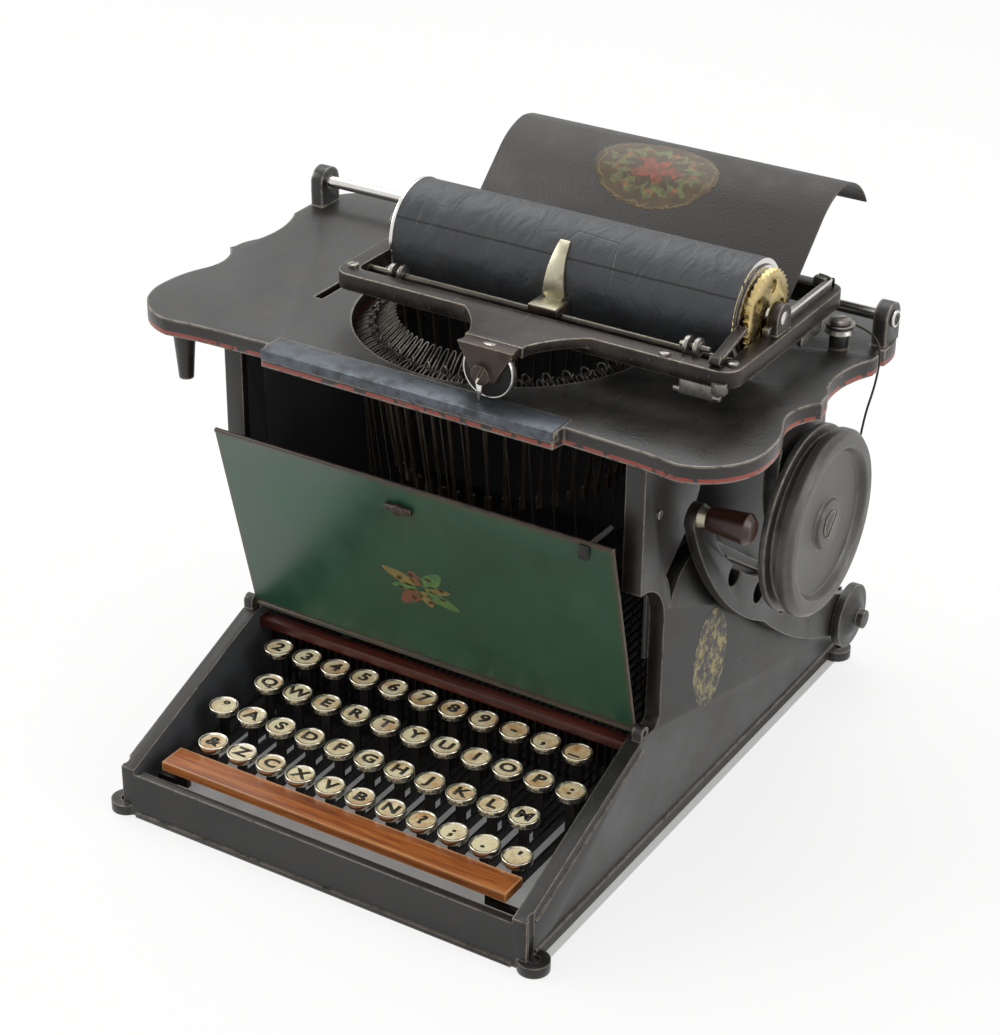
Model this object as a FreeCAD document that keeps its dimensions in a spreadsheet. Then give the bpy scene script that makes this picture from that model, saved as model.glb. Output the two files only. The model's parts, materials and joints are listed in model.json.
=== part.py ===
import math
import os
import FreeCAD
import Part
import Sketcher
from FreeCAD import Vector, Placement, Rotation

# An early up-strike typewriter with 44 keys and a spring-driven carriage.
# Lengths are millimetres. X runs left to right, Y from the front apron to
# the rear, Z up. Everything is laid out from the apron's front face (Y 0)
# and the floor (Z 0), and every sub-part is then moved back by
# front_to_centre, so that the model stands centred on its origin.

doc = FreeCAD.newDocument("typewriter")
sheet = doc.addObject("Spreadsheet::Sheet", "Sizes")

DRIVING_SIZES = [
    ("front_to_centre", 178.5, "apron front face to the origin"),
    ("running_gap", 0.3, "clearance between pieces that move on each other"),
    # Base casting
    ("base_depth", 357.0, "apron front face to the rear face of the base"),
    ("inner_half_width", 117.5, "centre to the inner face of a side"),
    ("side_thick", 8.5, "thickness of a side"),
    ("apron_height", 26.5, "height of the front apron"),
    ("apron_thick", 5.0, "thickness of the front apron"),
    ("side_nose_height", 29.3, "height of a side at the very front"),
    ("shoulder_back", 109.7, "front face to the top of the sloped edge"),
    ("shoulder_height", 71.9, "height of the top of the sloped edge"),
    ("recess_back", 130.0, "front face to the recessed edge under the column"),
    ("recess_top", 136.0, "height where the recessed edge starts to curve"),
    ("recess_radius", 26.0, "radius of the curve under the column"),
    ("column_back", 104.0, "front face to the front edge of a column"),
    ("column_inset", 2.5, "column flange inside the side's inner face"),
    ("flange_thick", 5.0, "depth of the column's front flange"),
    ("rear_height", 44.0, "height of a side at the rear"),
    ("rear_bar_drop", 2.0, "top of a side to the top of the rear bar"),
    ("lining_thick", 1.5, "thickness of the tin side linings and rear cover"),
    ("lining_front", 126.0, "front face to the front edge of a side lining"),
    ("rear_cover_back", 280.0, "front face to the upright part of the rear cover"),
    ("lug_radius", 8.5, "radius of a foot lug"),
    ("lug_thick", 6.0, "thickness of a foot lug"),
    ("lug_hole_radius", 3.0, "radius of the screw hole in a foot lug"),
    ("lug_reach", 127.5, "centre to the screw hole of a foot lug"),
    ("lug_front", 4.5, "front face to the front screw holes"),
    # Top plate
    ("plate_top", 250.3, "height of the plate's top face"),
    ("plate_thick", 9.3, "thickness of the top plate"),
    ("plate_half_width", 180.5, "centre to the outermost edge of the plate"),
    ("plate_front", 82.0, "front face to the front edge of the plate"),
    ("plate_rear", 292.0, "front face to the rear edge of the plate"),
    ("basket_back", 187.0, "front face to the centre of the type basket"),
    ("basket_hole_radius", 84.0, "radius of the round hole in the plate"),
    ("strip_half_length", 86.0, "half length of the front steel strip"),
    ("strip_width", 17.5, "width of the front steel strip"),
    ("strip_thick", 5.5, "thickness of the front steel strip"),
    # Rear rail and its posts
    ("rail_back", 266.0, "front face to the rail's axis"),
    ("rail_height", 263.8, "height of the rail's axis"),
    ("rail_radius", 3.2, "radius of the rail"),
    ("post_inset", 9.1, "plate's edge to the inner face of a rail post"),
    ("post_thick", 7.7, "thickness of a rail post"),
    ("post_radius", 8.5, "radius of a rail post's rounded top"),
    ("screw_head", 1.9, "height of the rail's screw heads"),
    # Keyboard
    ("key_pitch", 19.05, "pitch of the keys in a row"),
    ("row_step_back", 22.3, "front to back step from row to row"),
    ("row_step_up", 7.6, "height step from row to row"),
    ("front_row_back", 37.1, "front face to the front row"),
    ("front_row_height", 36.3, "height of the front row's key tops"),
    ("first_lever", 102.4, "centre to the outermost lever"),
    ("cap_radius", 8.2, "radius of a key cap"),
    ("cap_thick", 3.4, "thickness of a key cap"),
    ("stem_width", 5.4, "width of a key stem"),
    ("stem_thick", 2.0, "thickness of a key stem"),
    ("lever_thick", 1.6, "thickness of a key lever"),
    ("lever_deep", 6.0, "height of a key lever"),
    ("lever_height", 19.0, "height of the levers' middle line"),
    ("lever_nose", 4.0, "length of a lever in front of its stem"),
    ("pivot_inset", 22.0, "levers' pivot rod to the rear face of the base"),
    ("pivot_radius", 1.6, "radius of the pivot rod"),
    ("lever_tail", 7.0, "length of a lever behind its pivot"),
    ("bar_half_length", 107.0, "half length of the space bar"),
    ("bar_front", 10.8, "front face to the space bar's front edge"),
    ("bar_width", 16.2, "width of the space bar"),
    ("bar_thick", 5.2, "thickness of the space bar"),
    ("bar_height", 27.6, "height of the space bar's underside"),
    ("bar_arm_out", 112.0, "centre to a space bar arm"),
    ("rail_strip_height", 61.5, "height of the wood strip's underside"),
    ("rail_strip_back", 113.5, "front face to the wood strip"),
    ("rail_strip_width", 7.0, "width of the wood strip"),
    ("rail_strip_thick", 5.5, "thickness of the wood strip"),
    # Keyboard cover
    ("cover_half_width", 119.9, "half width of the keyboard cover"),
    ("cover_length", 122.0, "hinge line to the free edge of the cover"),
    ("cover_thick", 1.6, "thickness of the cover"),
    ("cover_lean", 14.0, "lean of the cover at rest, degrees from upright"),
    ("cover_back", 114.6, "front face to the cover's hinge line"),
    ("cover_height", 76.0, "height of the cover's hinge line"),
    ("cover_pin_radius", 1.6, "radius of the cover's hinge pin"),
    ("catch_drop", 14.5, "free edge to the cover's turn catch"),
    # Carriage
    ("carriage_offset", 41.0, "centre of the machine to the carriage's centre"),
    ("frame_half_length", 115.5, "half length of the carriage frame"),
    ("frame_front", 129.5, "front face to the front edge of the frame"),
    ("frame_rear", 256.5, "front face to the rear edge of the frame"),
    ("frame_bar", 9.5, "width of the frame's bars"),
    ("frame_top", 280.0, "height of the frame's top face"),
    ("frame_deep", 9.0, "height of the frame's bars"),
    ("frame_corner", 10.0, "outer corner radius of the frame"),
    ("sleeve_radius", 5.6, "radius of the sleeve on the rail"),
    ("sleeve_half_length", 42.0, "half length of the sleeve on the rail"),
    ("knuckle_radius", 8.2, "radius of the frame's hinge knuckles"),
    ("knuckle_length", 12.0, "length of a hinge knuckle"),
    ("knuckle_out", 30.0, "sleeve's middle to the middle of a knuckle"),
    ("wheel_radius", 14.6, "radius of the front carriage wheel"),
    ("wheel_thick", 3.2, "thickness of the front carriage wheel"),
    ("wheel_back", 96.5, "front face to the front carriage wheel"),
    ("nose_reach", 101.5, "front face to the frame's nose"),
    ("nose_half_width", 16.5, "half width of the frame's nose"),
    # Platen and paper table
    ("platen_radius", 26.9, "radius of the platen"),
    ("platen_inset", 17.3, "end of the frame to the platen's end"),
    ("platen_height", 287.4, "height of the platen's axis"),
    ("platen_axle_radius", 3.5, "radius of the platen's axle"),
    ("ratchet_radius", 23.0, "tip radius of the line ratchet"),
    ("ratchet_thick", 3.0, "thickness of the line ratchet"),
    ("ratchet_teeth", 36.0, "teeth of the line ratchet"),
    ("bearing_thick", 6.0, "thickness of a platen bearing"),
    ("bearing_radius", 7.5, "radius of a platen bearing"),
    ("table_half_length", 96.5, "half length of the paper table"),
    ("table_thick", 1.2, "thickness of the paper table"),
    ("table_crest_back", 286.0, "front face to the crest of the paper table"),
    ("table_rise", 40.5, "frame's top face to the crest of the paper table"),
    # Mainspring drum
    ("drum_back", 207.6, "front face to the drum's axis"),
    ("drum_height", 170.6, "height of the drum's axis"),
    ("drum_radius", 50.0, "radius of the mainspring drum"),
    ("drum_thick", 18.0, "thickness of the mainspring drum"),
    ("drum_inset", 0.5, "plate's edge to the drum's outer face"),
    ("groove_radius", 45.0, "radius of the cord groove in the drum"),
    ("groove_width", 5.0, "width of the cord groove in the drum"),
    ("stud_radius", 6.0, "radius of the drum's stud"),
    ("hanger_thick", 8.0, "thickness of the drum's hanger"),
    ("cord_radius", 0.6, "radius of the draw cord"),
    ("pulley_inset", 22.0, "plate's edge to the cord pulley's axis"),
    ("pulley_back", 246.0, "front face to the cord pulley's axis"),
    ("pulley_radius", 8.0, "radius of the cord pulley"),
    ("pulley_thick", 4.5, "thickness of the cord pulley"),
    ("pulley_rise", 9.0, "plate's top to the underside of the pulley"),
    ("cord_side", 6.0, "pulley's axis to the notch where the cord passes the plate"),
    # Return lever
    ("return_inset", 21.0, "return lever's pivot to the rear face of the base"),
    ("return_height", 40.0, "height of the return lever's pivot"),
    ("return_inner", 131.0, "centre to the inner face of the lever's arm"),
    ("return_thick", 6.0, "thickness of the return lever's arm"),
    ("return_stud_radius", 5.0, "radius of the stud that carries the return lever"),
    ("return_boss", 19.0, "radius of the cap on the lever's pivot"),
    ("grip_length", 27.0, "length of the return lever's grip"),
    ("grip_radius", 8.3, "radius of the return lever's grip"),
    ("grip_back", 143.0, "front face to the grip's axis"),
    ("grip_height", 193.0, "height of the grip's axis"),
    # Type basket
    ("type_bars", 44.0, "type bars, as many as keys"),
    ("ring_width", 12.0, "width of the type ring"),
    ("ring_thick", 7.0, "thickness of the type ring"),
    ("type_bar_length", 74.0, "length of a type bar"),
    ("type_bar_radius", 1.0, "radius of a type bar"),
    ("wire_radius", 0.45, "radius of a connecting wire"),
]

for line, (alias, value, meaning) in enumerate(DRIVING_SIZES, start=1):
    sheet.set("A%d" % line, meaning)
    sheet.set("B%d" % line, str(value))
    sheet.setAlias("B%d" % line, alias)
doc.recompute()


class Size:
    """A length that knows its value now and the sheet cells it comes from."""

    def __init__(self, value, text):
        self.value = float(value)
        self.text = text

    def __add__(self, other):
        return Size(self.value + value_of(other), "(%s + %s)" % (self.text, text_of(other)))

    def __radd__(self, other):
        return Size(value_of(other) + self.value, "(%s + %s)" % (text_of(other), self.text))

    def __sub__(self, other):
        return Size(self.value - value_of(other), "(%s - %s)" % (self.text, text_of(other)))

    def __rsub__(self, other):
        return Size(value_of(other) - self.value, "(%s - %s)" % (text_of(other), self.text))

    def __mul__(self, other):
        return Size(self.value * value_of(other), "(%s * %s)" % (self.text, text_of(other)))

    def __rmul__(self, other):
        return self * other

    def __truediv__(self, other):
        return Size(self.value / value_of(other), "(%s / %s)" % (self.text, text_of(other)))

    def __neg__(self):
        return Size(-self.value, "(0 - %s)" % self.text)


def value_of(size):
    return size.value if isinstance(size, Size) else float(size)


def text_of(size):
    return size.text if isinstance(size, Size) else repr(float(size))


def size(alias):
    return Size(sheet.get(alias), "Sizes." + alias)


def from_edge(alias):
    """A place across the machine, given by its distance from the plate's edge."""
    return size("plate_half_width") - size(alias)


def platen_half():
    """Half the platen's length, which leaves room for the bearings in the frame."""
    return size("frame_half_length") - size("platen_inset")


def from_rear(alias):
    """A place along the machine, given by its distance from the base's rear face."""
    return size("base_depth") - size(alias)


def bind(thing, prop, amount):
    """Set a property now and tie it to the sheet if it comes from there."""
    if isinstance(amount, Size):
        thing.setExpression(prop, amount.text)
    else:
        setattr(thing, prop, amount)


def place(thing, x, y, z):
    """Put a primitive's own corner or centre at a bound place."""
    spots = (("x", x), ("y", y), ("z", z))
    thing.Placement.Base = Vector(value_of(x), value_of(y), value_of(z))
    for axis, amount in spots:
        if isinstance(amount, Size):
            thing.setExpression("Placement.Base." + axis, amount.text)


def block(name, low, long):
    """A box from its lowest corner and its three lengths."""
    box = doc.addObject("Part::Box", name)
    for prop, amount in zip(("Length", "Width", "Height"), long):
        bind(box, prop, amount)
    place(box, *low)
    return box


TURNS = {
    "X": Rotation(Vector(0, 1, 0), 90),
    "Y": Rotation(Vector(1, 0, 0), -90),
    "Z": Rotation(),
}


def rod(name, start, radius, length, along="Z"):
    """A round bar from its start point along an axis."""
    bar = doc.addObject("Part::Cylinder", name)
    bar.Placement = Placement(Vector(), TURNS[along])
    bind(bar, "Radius", radius)
    bind(bar, "Height", length)
    place(bar, *start)
    return bar


def cone(name, start, radius_1, radius_2, length, along="Z"):
    """A tapered round bar from its start point along an axis."""
    bar = doc.addObject("Part::Cone", name)
    bar.Placement = Placement(Vector(), TURNS[along])
    bind(bar, "Radius1", radius_1)
    bind(bar, "Radius2", radius_2)
    bind(bar, "Height", length)
    place(bar, *start)
    return bar


def fuse(name, pieces):
    joined = doc.addObject("Part::MultiFuse", name)
    joined.Shapes = pieces
    joined.Refine = True
    return joined


def cut(name, piece, tools):
    """A piece with one or more tools taken away from it."""
    tool = tools[0] if len(tools) == 1 else fuse(name + "_tools", tools)
    left = doc.addObject("Part::Cut", name)
    left.Base = piece
    left.Tool = tool
    left.Refine = True
    return left


def group(name, pieces):
    """Separate solids kept in one sub-part."""
    together = doc.addObject("Part::Compound", name)
    together.Links = pieces
    return together


def plane_of(body, role):
    return [item for item in body.Origin.OriginFeatures if item.Role == role][0]


def outline(sketch, corners):
    """Draw one closed loop, each corner tied to the sheet.

    A corner is (across, up) for a straight run to the next corner, or
    (across, up, radius, turn) for an arc there, turning left (1) or right (-1).
    """
    first = sketch.GeometryCount
    ends = []
    for here, after in zip(corners, corners[1:] + corners[:1]):
        begin = Vector(value_of(here[0]), value_of(here[1]), 0)
        stop = Vector(value_of(after[0]), value_of(after[1]), 0)
        if len(here) == 2:
            sketch.addGeometry(Part.LineSegment(begin, stop), False)
            ends.append((1, 2))
            continue
        radius = value_of(here[2])
        half = (stop - begin) * 0.5
        sink = math.sqrt(max(radius ** 2 - half.Length ** 2, 0.0))
        left = Vector(-half.y, half.x, 0).normalize()
        centre = begin + half + left * sink * here[3]
        pair = (begin, stop) if here[3] > 0 else (stop, begin)
        angles = [math.atan2(point.y - centre.y, point.x - centre.x) for point in pair]
        circle = Part.Circle(centre, Vector(0, 0, 1), radius)
        sketch.addGeometry(Part.ArcOfCircle(circle, angles[0], angles[1]), False)
        ends.append((1, 2) if here[3] > 0 else (2, 1))
    for step, corner in enumerate(corners):
        here = first + step
        behind = first + (step - 1) % len(corners)
        sketch.addConstraint(
            Sketcher.Constraint("Coincident", behind, ends[step - 1][1], here, ends[step][0]))
    for step, corner in enumerate(corners):
        here = first + step
        for kind, amount, axis in (("DistanceX", corner[0], -2), ("DistanceY", corner[1], -1)):
            if value_of(amount) == 0:
                sketch.addConstraint(
                    Sketcher.Constraint("PointOnObject", here, ends[step][0], axis))
                continue
            spot = sketch.addConstraint(
                Sketcher.Constraint(kind, -1, 1, here, ends[step][0], value_of(amount)))
            if isinstance(amount, Size):
                sketch.setExpression("Constraints[%d]" % spot, amount.text)
        if len(corner) == 4:
            spot = sketch.addConstraint(Sketcher.Constraint("Radius", here, value_of(corner[2])))
            if isinstance(corner[2], Size):
                sketch.setExpression("Constraints[%d]" % spot, corner[2].text)


def plate(name, role, level, thick, loops):
    """A flat piece: closed loops drawn on an origin plane and padded.

    role is YZ_Plane (across Y, up Z, padded to +X) or XY_Plane (across X,
    up Y, padded to +Z), and level is where the pad starts.
    """
    body = doc.addObject("PartDesign::Body", name)
    sketch = body.newObject("Sketcher::SketchObject", name + "_sketch")
    sketch.AttachmentSupport = (plane_of(body, role), [""])
    sketch.MapMode = "FlatFace"
    sketch.AttachmentOffset.Base = Vector(0, 0, value_of(level))
    if isinstance(level, Size):
        sketch.setExpression("AttachmentOffset.Base.z", level.text)
    for corners in loops:
        outline(sketch, corners)
    doc.recompute()
    pad = body.newObject("PartDesign::Pad", name + "_pad")
    pad.Profile = sketch
    bind(pad, "Length", thick)
    body.Tip = pad
    return body


SUB_PARTS = []


def sub_part(label, thing, x=0.0):
    """Name a finished sub-part and move it back over the origin."""
    place(thing, x, -size("front_to_centre"), 0.0)
    thing.Label = label
    SUB_PARTS.append(thing)


def rear_slope():
    """Where a side's rear slope starts and ends: two (back, up) places."""
    knee = (size("recess_back") + 104.5, size("recess_top") - 15.4)
    foot = (size("base_depth") - 12.0, size("rear_height") + 2.0)
    return knee, foot


def side_profile():
    """One side in the Y-Z plane: sloped panel, column and the open notch."""
    nose = size("side_nose_height")
    shoulder_y = size("shoulder_back")
    shoulder_z = size("shoulder_height")
    recess_y = size("recess_back")
    recess_z = size("recess_top")
    bend = size("recess_radius")
    column_y = size("column_back")
    under = size("plate_top") - size("plate_thick")
    rear = size("base_depth")
    slope_knee, slope_foot = rear_slope()
    foot_radius = 6.0
    window_radius = 30.5
    return [[
        (0.0, 0.0),
        (rear, 0.0),
        (rear, size("rear_height")),
        slope_foot,
        slope_knee,
        (recess_y + 56.0, recess_z + 19.0, 60.0, 1),
        (recess_y + 35.0, recess_z + 26.0, window_radius, 1),
        (recess_y + 4.6, recess_z - 2.0, 32.0, 1),
        (recess_y - 0.5, recess_z + 26.0),
        (recess_y + 10.0, recess_z + 35.0, 62.0, 1),
        (recess_y + 35.0, recess_z + 69.0, 45.0, -1),
        (recess_y + 70.0, under),
        (column_y, under),
        (column_y, recess_z + bend, bend, -1),
        (recess_y, recess_z),
        (recess_y, shoulder_z + 1.5 + foot_radius, foot_radius, -1),
        (recess_y - foot_radius, shoulder_z + 1.5),
        (shoulder_y, shoulder_z),
        (0.0, nose),
    ]]


def build_base():
    """Sides with columns, apron, rear bar, foot lugs and the pivot rod."""
    inner = size("inner_half_width")
    thick = size("side_thick")
    rear = size("base_depth")
    column_y = size("column_back")
    under = size("plate_top") - size("plate_thick")
    inset = size("column_inset")
    right = plate("right_side", "YZ_Plane", inner, thick, side_profile())
    left = plate("left_side", "YZ_Plane", -(inner + thick), thick, side_profile())
    pieces = [right, left]
    lip_reach = 1.2
    lip_height = 3.0
    apron = block("apron", (-inner, 0.0, 0.0), (inner * 2, size("apron_thick"), size("apron_height")))
    lip = block("apron_lip", (-inner, -lip_reach, 0.0), (inner * 2, lip_reach, lip_height))
    rear_bar_thick = 6.0
    rear_bar = block("rear_bar", (-inner, rear - rear_bar_thick, 0.0),
                     (inner * 2, rear_bar_thick, size("rear_height") - size("rear_bar_drop")))
    pieces += [apron, lip, rear_bar]
    flange_foot = size("recess_top") + size("recess_radius")
    for name, x in (("right_flange", inner - inset), ("left_flange", -(inner + thick))):
        pieces.append(block(name, (x, column_y, flange_foot),
                            (thick + inset, size("flange_thick"), under - flange_foot)))
    lug_spots = (("front", size("lug_front")), ("rear", rear - 4.5))
    for side, way in (("right", 1), ("left", -1)):
        for end, y in lug_spots:
            lug = rod(side + end + "_lug", (size("lug_reach") * way, y, 0.0),
                      size("lug_radius"), size("lug_thick"))
            pieces.append(lug)
    casting = fuse("casting_solid", pieces)
    holes = []
    for side, way in (("right", 1), ("left", -1)):
        for end, y in lug_spots:
            holes.append(rod(side + end + "_lug_hole", (size("lug_reach") * way, y, -1.0),
                             size("lug_hole_radius"), size("lug_thick") + 60.0))
    pivot_hole = rod("pivot_hole", (-(inner + thick), from_rear("pivot_inset"), size("lever_height")),
                     size("pivot_radius"), (inner + thick) * 2, "X")
    casting = cut("base_casting", casting, holes + [pivot_hole])
    ears = []
    pivot = rod("pivot_rod", (-(inner + thick), from_rear("pivot_inset"), size("lever_height")),
                size("pivot_radius"), (inner + thick) * 2, "X")
    wood = block("wood_strip", (-inner, size("rail_strip_back"), size("rail_strip_height")),
                 (inner * 2, size("rail_strip_width"), size("rail_strip_thick")))
    cover_y = size("cover_back")
    cover_z = size("cover_height")
    lug_half = 3.6
    for side, start in (("right", size("cover_half_width") + 0.5), ("left", -(inner + thick))):
        wide = inner + thick - size("cover_half_width") - 0.5
        ear = fuse(side + "_ear_solid", [
            block(side + "_ear_foot", (start, cover_y - lug_half, size("shoulder_height") - 2.0),
                  (wide, lug_half * 2, cover_z - size("shoulder_height") + 2.0)),
            rod(side + "_ear_top", (start, cover_y, cover_z), lug_half, wide, "X")])
        ear_bore = rod(side + "_ear_bore", (start - 1.0, cover_y, cover_z),
                       size("cover_pin_radius") + size("running_gap"), wide + 2.0, "X")
        ears.append(cut(side + "_hinge_ear", ear, [ear_bore]))
    casting = fuse("base_with_ears", [casting] + ears)
    stud_end = size("return_inner") + size("return_thick") + size("running_gap")
    return_stud = rod("return_stud", (inner + thick, from_rear("return_inset"), size("return_height")),
                      size("return_stud_radius"), stud_end - inner - thick, "X")
    sub_part("base_frame", group("base_frame", [casting, pivot, wood, return_stud] + build_linings()))


def build_linings():
    """Tin linings that close the sides' notches, and the bent rear cover."""
    inner = size("inner_half_width")
    under = size("plate_top") - size("plate_thick")
    thick = size("lining_thick")
    back = size("rear_cover_back")
    front = size("lining_front")
    end = size("base_depth") - 6.0
    knee, foot = rear_slope()
    fall = (value_of(foot[1]) - value_of(knee[1])) / (value_of(foot[0]) - value_of(knee[0]))
    bend_z = knee[1] + (back - knee[0]) * fall
    end_z = knee[1] + (end - knee[0]) * fall
    lap = 11.0
    pieces = [plate("rear_cover", "YZ_Plane", -inner, inner * 2, [[
        (back - thick, bend_z - thick / 2),
        (end, end_z - thick * 1.2),
        (end, end_z),
        (back, bend_z),
        (back, under),
        (back - thick, under),
    ]])]
    for name, start in (("right_lining", inner - thick), ("left_lining", -inner)):
        pieces.append(plate(name, "YZ_Plane", start, thick, [[
            (front, size("recess_top") - 24.0),
            (knee[0], knee[1] - 28.0),
            (back - thick, bend_z - lap),
            (back - thick, under),
            (front, under),
        ]]))
    return pieces


def plate_corners():
    """The top plate's wavy outline seen from above."""
    edge = size("plate_half_width")
    front = size("plate_front")
    rear = size("plate_rear")
    strip = size("strip_half_length")
    right = [
        (strip, front + 1.0),
        (strip + 1.5, front + 9.0),
        (edge - 50.0, front + 7.0),
        (edge - 30.0, front + 4.5, 36.0, 1),
        (edge, front + 43.0, 60.0, 1),
        (edge - 5.5, front + 68.0, 26.0, -1),
        (edge, front + 100.0),
        (edge - 1.5, front + 103.0, 26.0, 1),
        (edge - 6.0, front + 118.0, 60.0, -1),
        (edge - 0.5, front + 160.0),
        (edge, rear - 30.0, 30.0, 1),
        (edge - 22.0, rear),
    ]
    left = []
    for index in range(len(right) - 1, -1, -1):
        corner = right[index]
        before = right[index - 1] if index else None
        if before is not None and len(before) == 4:
            left.append((-corner[0], corner[1], before[2], before[3]))
        else:
            left.append((-corner[0], corner[1]))
    return right + left


def build_top():
    """Top plate with rail posts, the drum's hanger and a small hanging stud."""
    top = size("plate_top")
    thick = size("plate_thick")
    under = top - thick
    edge = size("plate_half_width")
    slab = plate("plate_slab", "XY_Plane", under, thick, [plate_corners()])
    hole = rod("basket_hole", (0.0, size("basket_back"), under - 1.0),
               size("basket_hole_radius"), thick + 2.0)
    strip = size("strip_half_length")
    rebate = block("strip_rebate", (-strip, size("plate_front") - 1.0, top - size("strip_thick") + 0.5),
                   (strip * 2, size("strip_width") + 1.0, size("strip_thick") + 1.0))
    slot_out = 102.0
    slot_back = 152.0
    slot_wide = 5.0
    slot_long = 27.0
    slot = block("plate_slot", (-slot_out, slot_back, under - 1.0), (slot_wide, slot_long, thick + 2.0))
    notch = rod("cord_notch", (edge + 1.4, size("pulley_back") + size("cord_side"), under - 1.0),
                4.2, thick + 2.0)
    posts = []
    rail_y = size("rail_back")
    rail_z = size("rail_height")
    post_r = size("post_radius")
    post_starts = (("right", from_edge("post_inset")),
                   ("left", -(from_edge("post_inset") + size("post_thick"))))
    for side, x in post_starts:
        posts.append(block(side + "_post", (x, rail_y - post_r, top - 0.5),
                           (size("post_thick"), post_r * 2, rail_z - top + 0.5)))
        posts.append(rod(side + "_post_top", (x, rail_y, rail_z), post_r, size("post_thick"), "X"))
    solid = fuse("plate_with_posts", [cut("plate_cut", slab, [hole, rebate, slot, notch])] + posts)
    reach = from_edge("post_inset") + size("post_thick")
    bores = [rod("rail_bore", (-reach, rail_y, rail_z), size("rail_radius"), reach * 2, "X")]
    solid = cut("plate_casting", solid, bores)
    stub_out = 153.0
    stub_back = 105.0
    stub_long = 32.0
    stub_tip = 4.0
    stub_top = 6.5
    stub = cone("plate_stud", (-stub_out, stub_back, under - stub_long), stub_tip, stub_top, stub_long)
    hanger_out = from_edge("drum_inset") - size("drum_thick") - 4.0 - size("hanger_thick")
    drum_y = size("drum_back")
    drum_z = size("drum_height")
    boss = 15.0
    hanger = plate("drum_hanger", "YZ_Plane", hanger_out, size("hanger_thick"), [[
        (drum_y - 34.0, under),
        (drum_y - 20.0, drum_z + 44.0, 60.0, 1),
        (drum_y - boss + 2.0, drum_z - boss / 2, boss, 1),
        (drum_y + boss - 2.0, drum_z - boss / 2, 80.0, 1),
        (drum_y + 26.0, under),
    ]])
    drum_stud = rod("drum_stud", (hanger_out + size("hanger_thick"), drum_y, drum_z),
                    size("stud_radius"), size("drum_thick") + 3.0, "X")
    post_foot = rod("pulley_post", (from_edge("pulley_inset"), size("pulley_back"), top),
                    2.5, size("pulley_rise") + size("pulley_thick") + 0.6)
    pulley_seat = rod("pulley_seat", (from_edge("pulley_inset"), size("pulley_back"), top),
                      5.0, size("pulley_rise") - size("running_gap"))
    post = fuse("pulley_bracket", [post_foot, pulley_seat])
    bracket = fuse("drum_bracket", [hanger, drum_stud])
    sub_part("top_plate", group("top_plate", [solid, stub, bracket, post]))
    screw = size("screw_head")
    rail = rod("rail_tube", (-reach, rail_y, rail_z), size("rail_radius"), reach * 2, "X")
    heads = [rod("right_rail_screw", (reach, rail_y, rail_z), 4.6, screw, "X"),
             rod("left_rail_screw", (-(reach + screw), rail_y, rail_z), 4.6, screw, "X")]
    steel = block("front_strip", (-strip, size("plate_front"), top - size("strip_thick") + 0.5),
                  (strip * 2, size("strip_width"), size("strip_thick")))
    sub_part("carriage_ways", group("carriage_ways", [fuse("rail_with_screws", [rail] + heads), steel]))


def key_places():
    """Each key's row (0 at the rear) and lever number, left to right."""
    starts = (1, 3, 0, 2)
    return [(row, column, starts[row] + 4 * column) for row in range(4) for column in range(11)]


def row_back(row):
    return size("front_row_back") + size("row_step_back") * (3 - row)


def row_height(row):
    return size("front_row_height") + size("row_step_up") * (3 - row)


def build_keys():
    """Four patterns of key, one for each row, each copied along its row."""
    lever_top = size("lever_height") + size("lever_deep") / 2
    for row in range(4):
        label = "row_%d" % (row + 1)
        back = row_back(row)
        top = row_height(row)
        front = back - size("lever_nose")
        long = from_rear("pivot_inset") + size("lever_tail") - front
        bar = block(label + "_bar", (size("lever_thick") / -2.0, front, lever_top - size("lever_deep")),
                    (size("lever_thick"), long, size("lever_deep")))
        bore = rod(label + "_bore",
                   (-size("lever_thick"), from_rear("pivot_inset"), size("lever_height")),
                   size("pivot_radius") + size("running_gap"), size("lever_thick") * 2, "X")
        lever = cut(label + "_lever", bar, [bore])
        stem = block(label + "_stem",
                     (size("stem_width") / -2.0, back - size("stem_thick") / 2, lever_top),
                     (size("stem_width"), size("stem_thick"), top - size("cap_thick") - 1.2 - lever_top))
        disc = rod(label + "_disc", (0.0, back, top - size("cap_thick")),
                   size("cap_radius"), size("cap_thick"))
        under = cone(label + "_under", (0.0, back, top - size("cap_thick") - 1.2),
                     size("cap_radius") * 0.5, size("cap_radius") - 0.8, 1.2)
        cap = fuse(label + "_cap", [disc, under])
        pattern = [lever, stem, cap]
        for place_row, column, lever_number in key_places():
            if place_row != row:
                continue
            name = "key_row%d_%02d" % (row + 1, column + 1)
            key = group(name, pattern)
            quarter = size("key_pitch") / 4
            sub_part(name, key, quarter * lever_number - size("first_lever"))


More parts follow.
